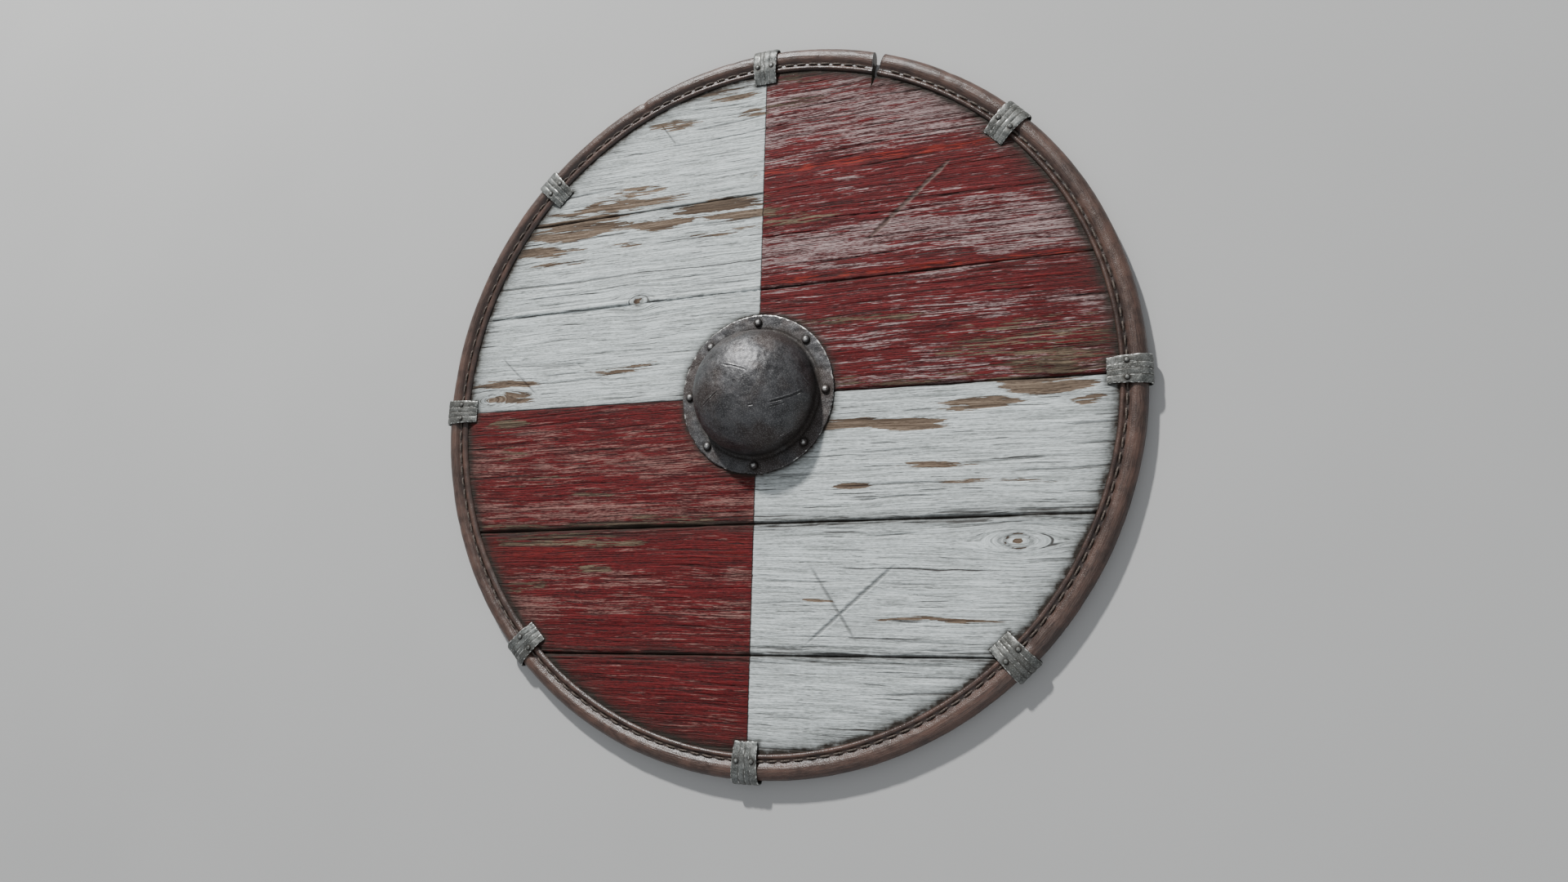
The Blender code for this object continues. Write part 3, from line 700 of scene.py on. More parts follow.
# %% [markdown]
# The outline of the blade's cut is a wide mouth at the rim that narrows to a neck at the edging's
# inner lip and then to a point. It is used twice, for the top plank here and for the two ends of the
# edging later, so it is a function of its own.

# %% The blade's cut
CUT_TURN = math.radians(69.8)
CUT_TIP, CUT_NECK, CUT_MOUTH = 0.385, 0.3995, 0.4327
CUT_NECK_SIDES = (0.0038, -0.0020)
CUT_MOUTH_SIDES = (0.0118, -0.0038)
CUT_BEYOND = 0.44


def at_turn(radius, turn, side=0.0):
    """The point at a radius and a turn from +X, moved sideways."""
    x = radius * math.cos(turn) - side * math.sin(turn)
    y = radius * math.sin(turn) + side * math.cos(turn)
    return x, y


def cut_side(radius, which):
    """How far the cut's left (0) or right (1) face is to the side, at a radius."""
    share = (radius - CUT_NECK) / (CUT_MOUTH - CUT_NECK)
    return CUT_NECK_SIDES[which] + (CUT_MOUTH_SIDES[which] - CUT_NECK_SIDES[which]) * share


cut_outline = [
    at_turn(CUT_BEYOND, CUT_TURN, cut_side(CUT_BEYOND, 0)),
    at_turn(CUT_NECK, CUT_TURN, CUT_NECK_SIDES[0]),
    at_turn(CUT_TIP, CUT_TURN),
    at_turn(CUT_NECK, CUT_TURN, CUT_NECK_SIDES[1]),
    at_turn(CUT_BEYOND, CUT_TURN, cut_side(CUT_BEYOND, 1)),
]
print("the cut is", round((RIM_RADIUS - CUT_TIP) * 1000), "mm deep")

# %% [markdown]
# Grain is a second pair of coordinates: how far a point lies along the board, and on which line of
# growth. Away from knots the lines are straight but for a slow wander. Round a knot they part and
# close again, as water does round a post, and inside it they turn into rings.

# %% The grain
def grain_at(x, y, plank):
    along, line = x, y
    for (knot_x, knot_y), half_length, half_height in KNOTS:
        across = (x - knot_x) / (half_length * 2.2)
        up = (y - knot_y) / half_height
        squared = across * across + up * up
        if squared < 1.0:
            inside = math.sqrt(((x - knot_x) / half_length) ** 2 + up * up)
            line = knot_y + (math.sqrt(squared) - 1.0) * half_height
            along = knot_x + (x - knot_x) * min(inside, 1.0)
        elif squared < 40.0:
            line -= (y - knot_y) / squared
    line += 0.0030 * noise.noise((x * 3.0, y * 8.0, plank * 3.7))
    line += 0.0011 * noise.noise((x * 16.0, y * 30.0, plank * 5.1))
    line += 0.0006 * noise.noise((x * 42.0, y * 60.0, plank * 6.3))
    return along, line


def surface_relief(along, line, seed):
    """Ridges and hollows of weathered wood, and the depth of its long open cracks."""
    ridge = 0.00052 * noise.noise((along * 6.0, line * 120.0, seed))
    ridge += 0.00036 * noise.noise((along * 15.0, line * 270.0, seed + 7.0))
    strip = line / 0.013 + 0.7 * noise.noise((along * 5.0, line * 30.0, seed + 13.0))
    off_middle = abs(strip - math.floor(strip) - 0.5) * 0.013
    opening = noise.noise((along * 9.0, math.floor(strip) * 7.3, seed + 19.0))
    open_here = ease((opening - 0.10) * 5.0)
    crack = max(0.0, 1.0 - off_middle / 0.0011) * open_here
    return ridge, crack


# %% [markdown]
# Now every point of a plank gets its height and its story. The five numbers that the shader reads are
# worn, faded, dirt and shade, cut and scraped; the cut number also holds painted shade at the bead.
# Relief only goes up where nothing lies on the wood: under the boss's flange and under the edging it
# only goes down.

# %% Planks: how worn, faded, dirty and shaded each point is
def patch_share(x, y):
    """How much of the paint is gone at a point, from all the worn patches."""
    gone = 0.0
    x += 0.022 * noise.noise((x * 20.0, y * 170.0, 1.0))
    y += 0.0050 * noise.noise((x * 13.0, y * 40.0, 6.0))
    for middle_x, middle_y, half_length, half_height, strength in WORN_PATCHES:
        up = abs(y - middle_y) / half_height
        across = abs(x - middle_x) / half_length
        if up < 1.8 and across < 1.8:
            reach = math.sqrt(across * across + up * up)
            gone = max(gone, strength * ease((1.75 - reach) / 1.15))
    return gone


def is_red(x, y):
    """Whether a point lies in the upper right or the lower left quarter."""
    return (x > 0.0007) != (y < -0.002)


def fading(x, y):
    """How chalky the red is: the upper right quarter has faded most."""
    level = 0.36 if x > 0 else 0.16
    for middle, half, change in FADED_BANDS:
        off = abs(y - middle) / half
        if off < 2.0:
            level += change * 0.6 * ease((2.0 - off) / 1.4)
    return level + 0.42 * noise.noise((x * 8.0, y * 42.0, 2.0))


def soil_and_shade_near_metal(x, y):
    """Darkening along the edging, round the boss and at the clips, as soiling and as painted shade."""
    radius = math.hypot(x, y)
    inward = LIP_RADIUS - radius
    level = 0.95 * math.exp(-max(inward, 0.0) / 0.0055) + 0.42 * math.exp(-max(inward, 0.0) / 0.020)
    outward = radius - FLANGE_RADIUS
    level = max(level, 0.95 * math.exp(-max(outward, 0.0) / 0.0050))
    if radius > 0.36:
        turn = math.atan2(y, x)
        for clip_turn in CLIP_TURNS:
            off = abs((turn - clip_turn + math.pi) % math.tau - math.pi) * radius
            reach = math.hypot(max(off - 0.014, 0.0), max(0.3885 - radius, 0.0))
            level = max(level, 0.95 * math.exp(-reach / 0.0045))
    return level


# %% [markdown]
# A joint is not a plain gap. On the two lower joints the edges are worn round and hold dirt, and
# beside every joint a soft dark band is painted as dirt and shade. The second joint from the top is
# closed by a thick bead of white paint on its left half, with shallow waves across it near the boss,
# and dark lines along its lower and upper foot are painted shade. Last come the scratches, which dig
# into the wood.

# %% Planks: joints, bead and scratches
BEAD_LEFT, WAVES_FROM = -0.392, -0.135
BEAD_ABOVE, BEAD_HALF, BEAD_RISE = 0.0038, 0.0036, 0.0030


def joint_wear(x, distance, joint):
    """Depth, edge darkness, and soiling with painted shade, at a distance from a joint's edge."""
    half = joint[2] if x < 0.0 else joint[3]
    if half == 0.0:
        return 0.0, 0.0, 0.0
    half *= 0.9 + 0.9 * noise.noise((x * 16.0, joint[0] * 50.0, 3.0))
    half += 0.0009 * noise.noise((x * 60.0, joint[0] * 70.0, 5.0))
    half = max(half, 0.0003)
    rounding = max(0.0, 1.0 - distance / (half + 0.0004))
    soft = math.exp(-distance / 0.0065) * joint[4]
    return half * 1.5 * rounding ** 1.5, rounding, soft


def bead_height(x, y):
    """The raised bead of paint over the second joint, on the white side."""
    if x > -0.0005 or x < BEAD_LEFT:
        return 0.0
    off = (y - joint_height(JOINTS[1], x) - BEAD_ABOVE) / BEAD_HALF
    if abs(off) > 1.0:
        return 0.0
    lump = 0.75 + 0.5 * noise.noise((x * 30.0, 0.0, 8.0))
    knot, half_length, half_height = KNOTS[0]
    lump *= ease(math.hypot((x - knot[0]) / half_length, (y - knot[1]) / half_height) - 0.8)
    if x > WAVES_FROM:
        lump *= 0.65 + 0.35 * math.cos(x * math.tau / 0.0068)
    return BEAD_RISE * math.sqrt(1.0 - off * off) * lump


def scratch_wear(x, y):
    """Depth, darkness and bared wood from the scratches at a point."""
    depth = darkness = bared = 0.0
    for start, end, half, deep, bares in SCRATCHES:
        if abs(x - (start[0] + end[0]) / 2) > 0.07 or abs(y - (start[1] + end[1]) / 2) > 0.07:
            continue
        distance, share = along_scratch(x, y, start, end)
        taper = ease(min(share, 1.0 - share) * 5.0 + 0.25)
        reach = half * (0.35 + 0.65 * taper) * (1.0 + 0.4 * noise.noise((x * 120, y * 120, 1.0)))
        groove = max(0.0, 1.0 - distance / reach)
        rim = math.exp(-((distance - reach * 1.3) / (half * 0.5)) ** 2)
        depth = max(depth, deep * groove ** 0.8 * taper) - 0.22 * deep * rim * taper
        if bares:
            bared = max(bared, ease(groove * 2.6) * ease(taper * 1.5))
        else:
            darkness = max(darkness, ease(groove * 1.4) * taper * 0.55)
    return depth, darkness, bared


# %% [markdown]
# On the front everything comes together at each point: the ridges of the wood, its cracks, the knots,
# the scratches, the joints and the bead set the height, and the same marks set the five numbers.

# %% Planks: weather the front
def knot_marks(x, y):
    """Darkness and bare wood at the knots."""
    darkness = bared = 0.0
    for (knot_x, knot_y), half_length, half_height in KNOTS:
        reach = math.hypot((x - knot_x) / half_length, (y - knot_y) / half_height)
        if reach < 1.6:
            ring = math.exp(-((reach - 0.78) / 0.15) ** 2)
            bared = max(bared, 1.1 * ease((0.42 - reach) * 5.0), 0.70 * ring)
            darkness = max(darkness, 0.6 * ring, 0.30 * math.exp(-((reach - 1.25) / 0.09) ** 2))
    return darkness, bared


def weather_front(vert, layers, number, joints):
    x, y = vert.co.x, vert.co.y
    radius = math.hypot(x, y)
    along, line = grain_at(x, y, number)
    ridge, crack = surface_relief(along, line, number * 17.0)
    coarse = 1.7 if is_red(x, y) and x > 0 else (1.25 if is_red(x, y) else 0.85)
    worn = patch_share(x, y)
    depth, darkness, bared = scratch_wear(x, y)
    knot_dark, knot_bare = knot_marks(x, y)
    dirt = soil_and_shade_near_metal(x, y)
    height = ridge * coarse - crack * 0.0007 * coarse - depth - worn * 0.00025
    darkness = max(darkness, crack * 0.85, knot_dark)
    for joint in joints:
        if joint is not None:
            distance = abs(y - joint_height(joint, x)) - JOINT_AIR / 2
            drop, edge, soft = joint_wear(x, max(distance, 0.0), joint)
            height -= drop
            darkness = max(darkness, 0.9 * edge ** 1.5)
            dirt = max(dirt, soft)
            if joint[4] > 0.5:
                split = noise.noise((along * 14.0, line * 420.0, 9.0))
                beside = ease((0.012 - distance) / 0.007) * ease((split - 0.10) * 6.0)
                darkness = max(darkness, 0.8 * beside)
                height -= 0.0005 * beside
    if number == 2:
        bead = bead_height(x, y)
        smooth = ease(bead * 1500.0)
        height += bead - 0.8 * smooth * ridge
        worn *= 1.0 - smooth
        darkness *= 1.0 - smooth
        # Dark lines along the bead's lower and upper foot are painted shade; the lower one also lies on
        # the joint.
        above = y - joint_height(JOINTS[1], x)
        if x < -0.02 and above < 0.0006:
            darkness = 0.45 + 0.4 * ease((-0.20 - x) / 0.12)
        if x < -0.02 and 0.0074 < above < 0.0088:
            darkness = max(darkness, 0.35)
    if radius < FLANGE_RADIUS + 0.002 or radius > LIP_RADIUS - 0.004:
        height = min(height, 0.0) - 0.0001
    vert.co.z = BOARD_FRONT + height
    vert[layers["grain"]] = (along, line, 0.0)
    vert[layers["worn"]] = max(worn, knot_bare)
    vert[layers["faded"]] = fading(x, y)
    vert[layers["scraped"]] = bared
    vert[layers["dirt"]] = min(dirt, 1.0)
    vert[layers["cut"]] = min(darkness, 1.0)


# %% [markdown]
# The back gets the same wood relief, but no paint and less dirt. Its height only goes inwards, because
# the frame's board ends there.

# %% Planks: weather the back
def weather_back(vert, layers, number, joints):
    x, y = vert.co.x, vert.co.y
    along, line = grain_at(x, y, number)
    ridge, crack = surface_relief(along, line, number * 17.0 + 5.0)
    depth = 0.0003 + ridge * 0.9 + crack * 0.0006
    dirt = 0.8 * math.exp(-max(LIP_RADIUS - math.hypot(x, y), 0.0) / 0.007)
    dirt = max(dirt, 0.7 * math.exp(-max(math.hypot(x, y) - HOLE_RADIUS, 0.0) / 0.008))
    for joint in joints:
        if joint is not None:
            distance = max(abs(y - joint_height(joint, x)) - JOINT_AIR / 2, 0.0)
            depth += 0.0009 * max(0.0, 1.0 - distance / 0.0014)
            dirt = max(dirt, 0.6 * math.exp(-distance / 0.002))
    vert.co.z = BOARD_BACK + max(depth, 0.0)
    vert[layers["grain"]] = (along, line, 0.0)
    vert[layers["dirt"]] = dirt
    vert[layers["cut"]] = crack * 0.8


# %% [markdown]
# The planks are made one after another. For each one the sheet is built, thickened and cut, and then
# its front and its back are weathered. The faces that look up get the paint, and the rest bare wood.

# %% Planks: put each one together
def make_plank(number):
    lines = [(*ROUND_TOP, 0, 0, 0), *JOINTS, (-ROUND_TOP[0], 0.0, 0, 0, 0)]
    upper, lower = lines[number - 1], lines[number]
    bm = plank_sheet(upper, lower, number == 1, number == 6)
    refine_near_scratches(bm)
    thicken(bm)
    if number == 1:
        bm = cut_out(bm, block_from_outline(cut_outline))
    if number in (3, 4):
        round_hole = [at_turn(HOLE_RADIUS, math.tau * step / 96) for step in range(96)]
        bm = cut_out(bm, block_from_outline(round_hole))
    layers = {"grain": bm.verts.layers.float_vector.new("grain")}
    for name in ("worn", "faded", "dirt", "cut", "scraped"):
        layers[name] = bm.verts.layers.float.new(name)
    near_joints = [upper if number > 1 else None, lower if number < 6 else None]
    for vert in bm.verts:
        weather = weather_front if vert.co.z > MIDDLE else weather_back
        weather(vert, layers, number, near_joints)
    bm.normal_update()
    for face in bm.faces:
        face.material_index = 0 if face.normal.z > 0.25 else 1
    return as_piece(f"weathered_plank_{number}", bm, (PAINTED, BACK_WOOD), [f"plank_{number}"],
                    sharp=55.0)


planks = [make_plank(number) for number in range(1, 7)]
print("planks:", sum(triangles(plank.data) for plank in planks), "triangles")

# %% [markdown]
# The edging is a strip of thick leather, folded over the board's edge, rolled along its outside and
# sewn through in a groove. Its section is the same all the way round, so it is drawn once as a wire
# and spun. The blade has cut it, so the spin isn't closed: it is laid out as an open ring, and then
# each end is moved onto the face that the blade left.

# %% Edging: its section
LIP_WIDTH, LIP_HEIGHT = 0.0058, 0.0029
SLOT_HALF, SLOT_BOTTOM = 0.0043, 0.4153
GROOVE_HEIGHT = 0.0057
ROLL_CENTRE, ROLL_HALF, ROLL_RISE = 0.41935, 0.01065, 0.009
GROOVE_FROM, GROOVE_TO = 0.4069, 0.4111


def half_section():
    """From the inner lip to the outermost point, as (radius, height above the board's middle)."""
    points = []
    lip_end = math.asin((GROOVE_HEIGHT - SLOT_HALF) / LIP_HEIGHT)
    for step in range(8):
        turn = math.pi + (lip_end - math.pi) * step / 7
        points.append((LIP_RADIUS + LIP_WIDTH / 2 * (1 + math.cos(turn)),
                       SLOT_HALF + LIP_HEIGHT * math.sin(turn)))
    for share in (0.3, 0.7):
        points.append((GROOVE_FROM + (GROOVE_TO - GROOVE_FROM) * share, GROOVE_HEIGHT - 0.0005))
    start = math.pi - math.asin(GROOVE_HEIGHT / ROLL_RISE)
    for step in range(15):
        turn = start * (1 - step / 14)
        points.append((ROLL_CENTRE + ROLL_HALF * math.cos(turn), ROLL_RISE * math.sin(turn)))
    return points


front_half = half_section()
back_half = [(radius, -height) for radius, height in reversed(front_half[:-1])]
slot = [(SLOT_BOTTOM, -SLOT_HALF), (SLOT_BOTTOM, SLOT_HALF)]
section = [(radius, MIDDLE + height) for radius, height in front_half + back_half + slot]
print("section of the edging:", len(section), "points")

# %% [markdown]
# The ring is stored with two directions at every point: how far along the rim, and how far round the
# roll. Leather creases across a roll and gets scuffed along it, so its shader needs both.

# %% Edging: spin it and open it at the cut
EDGING_STEPS = 1180
SPUN = 1.9 * math.pi
STITCH_COUNT = 168
STITCH_PITCH = math.tau / STITCH_COUNT
# Turn in degrees, half width and depth
ROLL_DENTS = (
    (113.3, 0.004, 0.0011), (96.0, 0.005, 0.0004), (58.0, 0.006, 0.0005),
    (200.0, 0.006, 0.0004), (318.0, 0.005, 0.0005), (152.0, 0.004, 0.0004),
)


def groove_shift(turn):
    """How much further out the groove was sewn: the lip is wider on the left."""
    return 0.0024 * ease(-1.2 * math.cos(turn))


def stitch_hole(turn, radius):
    """1 where the thread goes down into the groove, and 0 away from it."""
    off = abs((turn / STITCH_PITCH) % 1.0 - 0.5)
    along = (0.5 - off) * STITCH_PITCH * STITCH_RADIUS
    return math.exp(-(along / 0.0014) ** 2 - ((radius - STITCH_RADIUS) / 0.0016) ** 2)


def roll_dent(turn, radius, height):
    """How deep the knocks in the front of the roll are at a point."""
    deep = 0.0
    if height < MIDDLE:
        return 0.0
    for dent_turn, half, depth in ROLL_DENTS:
        off = (turn - math.radians(dent_turn)) * radius / half
        deep += depth * math.exp(-off * off)
    return deep * ease((radius - 0.409) / 0.004)


bm = bmesh.new()
layers = {"run": bm.verts.layers.float_vector.new("run")}
for name in ("wear", "dirt", "shaded_cut_end"):
    layers[name] = bm.verts.layers.float.new(name)
ring = [bm.verts.new((radius, 0.0, height)) for radius, height in section]
wire = [bm.edges.new((ring[index - 1], ring[index])) for index in range(len(ring))]
bmesh.ops.spin(bm, geom=ring + wire, cent=(0, 0, 0), axis=(0, 0, 1), angle=SPUN,
               steps=EDGING_STEPS)
bmesh.ops.remove_doubles(bm, verts=bm.verts[:], dist=0.000001)
for vert in bm.verts:
    radius = math.hypot(vert.co.x, vert.co.y)
    share = (math.atan2(vert.co.y, vert.co.x) % math.tau) / SPUN
    share = 0.0 if share > 1.02 else share
    first = CUT_TURN + math.asin(cut_side(radius, 0) / radius)
    last = CUT_TURN + math.asin(cut_side(radius, 1) / radius) + math.tau
    turn = first + (last - first) * share
    vert.co.x, vert.co.y = at_turn(radius, turn)
open_edges = [edge for edge in bm.edges if edge.is_boundary]
closed = bmesh.ops.holes_fill(bm, edges=open_edges, sides=0)["faces"]
bmesh.ops.recalc_face_normals(bm, faces=bm.faces[:])
print("edging:", len(bm.faces), "faces,", len(closed), "cut ends closed")

# %% [markdown]
# Leather moves when it is sewn and used. Each point is pushed along its own normal: the thread pulls
# the groove in at every hole, the roll has shallow knocks and slow waves, and small wrinkles run
# across it. It is never pushed outwards past the measured ring. On the left the groove was sewn a
# little further out, so there it moves towards the roll and leaves a wider lip.

# %% Edging: wear the leather
cut_verts = {vert for face in closed for vert in face.verts}
bm.normal_update()
normals = {vert: vert.normal.copy() for vert in bm.verts}
for vert in bm.verts:
    radius = math.hypot(vert.co.x, vert.co.y)
    turn = math.atan2(vert.co.y, vert.co.x) % math.tau
    round_roll = math.atan2(vert.co.z - MIDDLE, radius - ROLL_CENTRE)
    along = turn * RIM_RADIUS
    wave = noise.noise(vert.co * 26.0) - 0.35
    wrinkle = noise.noise((along * 210.0, round_roll * 1.6, 4.0)) - 0.35
    lumps = noise.noise(vert.co * 90.0) - 0.35
    push = 0.00035 * wave + 0.00014 * wrinkle + 0.00016 * lumps
    hole = stitch_hole(turn, radius)
    push -= 0.0009 * hole + roll_dent(turn, radius, vert.co.z)
    in_slot = abs(vert.co.z - MIDDLE) < SLOT_HALF + 0.0001 and radius < SLOT_BOTTOM + 0.0003
    from_groove = abs(radius - STITCH_RADIUS)
    out = groove_shift(turn) * ease(1.25 - from_groove / (ROLL_CENTRE - STITCH_RADIUS) * 1.25)
    if not in_slot and vert not in cut_verts:
        vert.co += normals[vert] * min(push, 0.0)
    if not in_slot and LIP_RADIUS + 0.0005 < radius < ROLL_CENTRE:
        vert.co.x, vert.co.y = at_turn(math.hypot(vert.co.x, vert.co.y) + out, turn)
    depth = (ROLL_RISE - abs(vert.co.z - MIDDLE)) / ROLL_RISE
    # The groove, the stitch holes, the foot of the lip and the outer side of the roll are darkened, as
    # dirt and as painted shade.
    groove = math.exp(-((radius - STITCH_RADIUS) / 0.0021) ** 2)
    foot = math.exp(-max(radius - LIP_RADIUS, 0.0) / 0.0012)
    outside = ease((radius - 0.4265) / 0.0035)
    vert[layers["run"]] = (along, round_roll * 0.010, 0.0)
    vert[layers["wear"]] = ease(1.0 - depth * 2.2) * (1.0 if radius > 0.412 else 0.7)
    vert[layers["dirt"]] = min(1.0, 0.82 * groove + 0.6 * foot + 0.5 * hole + 0.25 * outside)
    # The cut ends are marked for a very dark colour: the fibres of the inside and painted shade.
    vert[layers["shaded_cut_end"]] = 1.0 if vert in cut_verts else 0.0

# %% [markdown]
# Old vegetable-tanned leather is a warm brown with a greyer bloom where it gets rubbed. The shader
# stretches its noise along the rim for scuffs, keeps a fine pebble for the pores, and darkens the
# groove, the stitch holes, the lip's foot and the roll's outer side, as dirt and as painted shade.
# Where the blade went through, the cut ends are painted very dark: the fibres of the inside, and
# painted shade.

# %% Material: leather
material, add = new_material("worn_leather")
place = add.place()
run = add.attribute("run", "Vector")
wear, dirt, shaded_cut_end = add.attribute("wear"), add.attribute("dirt"), add.attribute("shaded_cut_end")
mottle = add.noise(place, 34.0, 5.0, 0.62)
long_scuff = streaky(add, run, 0.045, 0.0022, 80.0)
short_scuff = streaky(add, run, 0.012, 0.0011, 84.0)
pebble = add.add("TexVoronoi", {"Vector": place, "Scale": 900.0})
tan = add.mix(add.step(mottle, 0.36, 0.66), rgb(0.040, 0.021, 0.016), rgb(0.112, 0.058, 0.042))
tan = add.mix(add.times(add.step(long_scuff, 0.46, 0.64), 0.60), tan,
              rgb(0.030, 0.018, 0.015))
rubbed = add.times(wear, add.step(short_scuff, 0.38, 0.66))
tan = add.mix(add.times(rubbed, 0.60), tan, rgb(0.130, 0.086, 0.068))
# The cut ends are painted very dark: the fibres of the inside and painted shade.
tan = add.mix(shaded_cut_end, tan, rgb(0.030, 0.016, 0.012))
tan = add.group(grime_and_shade, {"Colour": tan, "Dirt": dirt, "Place": place,
                        "Soil and shade": rgb(0.020, 0.014, 0.012)})
height = add.total((pebble, 1.6), (long_scuff, 5.0), (mottle, 5.0))
roughness = add.plus(0.24, add.times(mottle, 0.24))
LEATHER = end_material(material, tan, roughness, height, specular=0.65)
as_piece("rolled_leather_edging", bm, (LEATHER,), ["leather_edging"], sharp=60.0)

# %% [markdown]
# The thread is waxed and dirty. Each stitch is a short piece of it that comes up through one hole,
# lies in the groove and goes down through the next. One stitch is a bent and tapered tube of a few
# dozen faces, and the row repeats it round the rim, in front and behind.

# %% Stitches in the groove
STITCH_HALF = 0.0063
THREAD_RADIUS = 0.0012
# How far right and left of the cut no stitch is left
CUT_CLEARS = (-0.012, 0.017)


def one_stitch(side):
    """A stitch at turn 0, on the front (1) or on the back (-1)."""
    stitch = bmesh.new()
    bmesh.ops.create_cone(stitch, cap_ends=True, segments=6, radius1=THREAD_RADIUS,
                          radius2=THREAD_RADIUS, depth=2 * STITCH_HALF)
    long_edges = [edge for edge in stitch.edges
                  if abs(edge.verts[0].co.z - edge.verts[1].co.z) > STITCH_HALF]
    bmesh.ops.subdivide_edges(stitch, edges=long_edges, cuts=5)
    bmesh.ops.rotate(stitch, verts=stitch.verts[:], matrix=Matrix.Rotation(math.pi / 2, 3, "X"),
                     cent=(0, 0, 0))
    for vert in stitch.verts:
        share = abs(vert.co.y) / STITCH_HALF
        thin = 1.0 - 0.30 * share ** 3
        sink = 0.0016 * share ** 4
        vert.co.x = STITCH_RADIUS + vert.co.x * thin
        vert.co.z = MIDDLE + side * (GROOVE_HEIGHT + 0.0001 + vert.co.z * thin - sink)
    mesh = bpy.data.meshes.new("stitch")
    stitch.to_mesh(mesh)
    stitch.free()
    return mesh


chance = random.Random(4)
bm = bmesh.new()
for side in (1, -1):
    pattern = one_stitch(side)
    for number in range(STITCH_COUNT):
        turn = (number + 1.0) * STITCH_PITCH
        cut_place = (turn - CUT_TURN) * STITCH_RADIUS
        if CUT_CLEARS[0] < cut_place < CUT_CLEARS[1]:
            continue
        before = len(bm.verts)
        bm.from_mesh(pattern)
        bm.verts.ensure_lookup_table()
        fresh = bm.verts[before:]
        middle = Vector((STITCH_RADIUS, 0.0, 0.0))
        tilt = Matrix.Rotation(chance.uniform(-0.07, 0.07), 3, "Z")
        bmesh.ops.rotate(bm, verts=fresh, matrix=tilt, cent=middle)
        bmesh.ops.translate(bm, verts=fresh, vec=(groove_shift(turn), 0.0, 0.0))
        bmesh.ops.rotate(bm, verts=fresh, matrix=Matrix.Rotation(turn, 3, "Z"), cent=(0, 0, 0))
bmesh.ops.recalc_face_normals(bm, faces=bm.faces[:])

material, add = new_material("waxed_thread")
place = add.place()
ply = add.noise(place, 700.0, 3.0, 0.6)
tone = add.mix(add.step(ply, 0.35, 0.65), rgb(0.040, 0.030, 0.025), rgb(0.140, 0.112, 0.092))
THREAD = end_material(material, tone, 0.75, add.times(ply, 2.0))
as_piece("edging_stitches", bm, (THREAD,), [], sharp=70.0)

# %% [markdown]
# Two iron finishes come next. The clips are a plain grey that the hammer left striped, with bright
# chipped edges. The boss is darker and browner, was once oiled, and shines where it was knocked.
# Both use the iron group, and each piece tells where it is worn, in places with a painted
# highlight, and where it is dirty or darkened with painted shade.

# %% Materials: the two irons
def iron_material(name, tones, rusty, relief, metallic):
    material, add = new_material(name)
    place = add.place()
    wear, dirt = add.attribute("wear"), add.attribute("dirt")
    values = {"Place": place, "Wear": wear, "Rusty": rusty, **tones}
    colour = add.group(forged_iron, values, output="Colour")
    roughness = add.group(forged_iron, values, output="Roughness")
    height = add.times(add.group(forged_iron, values, output="Height"), relief)
    colour = add.group(grime_and_shade, {"Colour": colour, "Dirt": dirt, "Place": place})
    cover = add.group(grime_and_shade, {"Dirt": dirt, "Place": place}, output="Cover")
    roughness = add.plus(roughness, add.times(cover, 0.25))
    return end_material(material, colour, roughness, height, metallic=metallic)


CLIP_IRON = iron_material("striped_clip_iron", {
    "Scale": rgb(0.075, 0.080, 0.076), "Metal": rgb(0.185, 0.194, 0.187),
    "Bright": rgb(0.66, 0.67, 0.64), "Rust": rgb(0.10, 0.087, 0.070)}, 0.30, 2.6, 0.55)
BOSS_IRON = iron_material("oiled_boss_iron", {
    "Scale": rgb(0.058, 0.057, 0.060), "Metal": rgb(0.112, 0.111, 0.116),
    "Bright": rgb(0.56, 0.56, 0.54), "Rust": rgb(0.075, 0.051, 0.042)}, 0.50, 3.8, 0.80)

# %% [markdown]
# A clip is a strip of iron as wide as two fingers, bent hot over the edging: flat on the front, round
# the roll and flat again behind. A grid is laid along that path, extruded to its thickness, and
# then hammered: three shallow stripes run along it, its edges are nicked, and no two clips are alike.

# %% Clips: the path that they are bent to
CLIP_TIP = 0.3885
CLIP_SHOULDER = 0.405
CLIP_INSIDE = 0.0093
CLIP_THICKNESS = 0.002
CLIP_BEND = 0.01335
CLIP_RIVET_SIDE = 0.0089


def clip_line():
    """The inside of a clip, front to back, as (radius, height above the board's middle)."""
    points = [(CLIP_TIP, SLOT_HALF)]
    for step in range(1, 9):
        share = step / 9
        points.append((CLIP_TIP + (CLIP_SHOULDER - CLIP_TIP) * share,
                       SLOT_HALF + (CLIP_INSIDE - SLOT_HALF) * (0.35 * share + 0.65 * ease(share))))
    points.append((CLIP_SHOULDER, CLIP_INSIDE))
    for step in range(25):
        turn = math.pi / 2 - math.pi / 2 * step / 24
        points.append((ROLL_CENTRE + CLIP_BEND * math.cos(turn), CLIP_INSIDE * math.sin(turn)))
    return points + [(radius, -height) for radius, height in reversed(points[:-1])]


def place_on_line(line, share):
    """The point at a share of a line's length, and the direction of the line there."""
    lengths = [math.dist(first, second) for first, second in zip(line, line[1:])]
    left = share * sum(lengths)
    for (first, second), length in zip(zip(line, line[1:]), lengths):
        if left <= length or second is line[-1]:
            part = min(left / length, 1.0)
            spot = Vector(first).lerp(Vector(second), part)
            return spot, (Vector(second) - Vector(first)).normalized()
        left -= length


CLIP_LINE = clip_line()
clip_length = sum(math.dist(*pair) for pair in zip(CLIP_LINE, CLIP_LINE[1:]))
print("a clip is bent from", round(clip_length * 1000), "mm of iron")

# %% Clips: grid, thickness and hammer marks
CLIP_ROWS, CLIP_COLUMNS = 84, 40
CLIP_TIP_WIDTH, CLIP_WIDENS = 0.0275, 0.0040
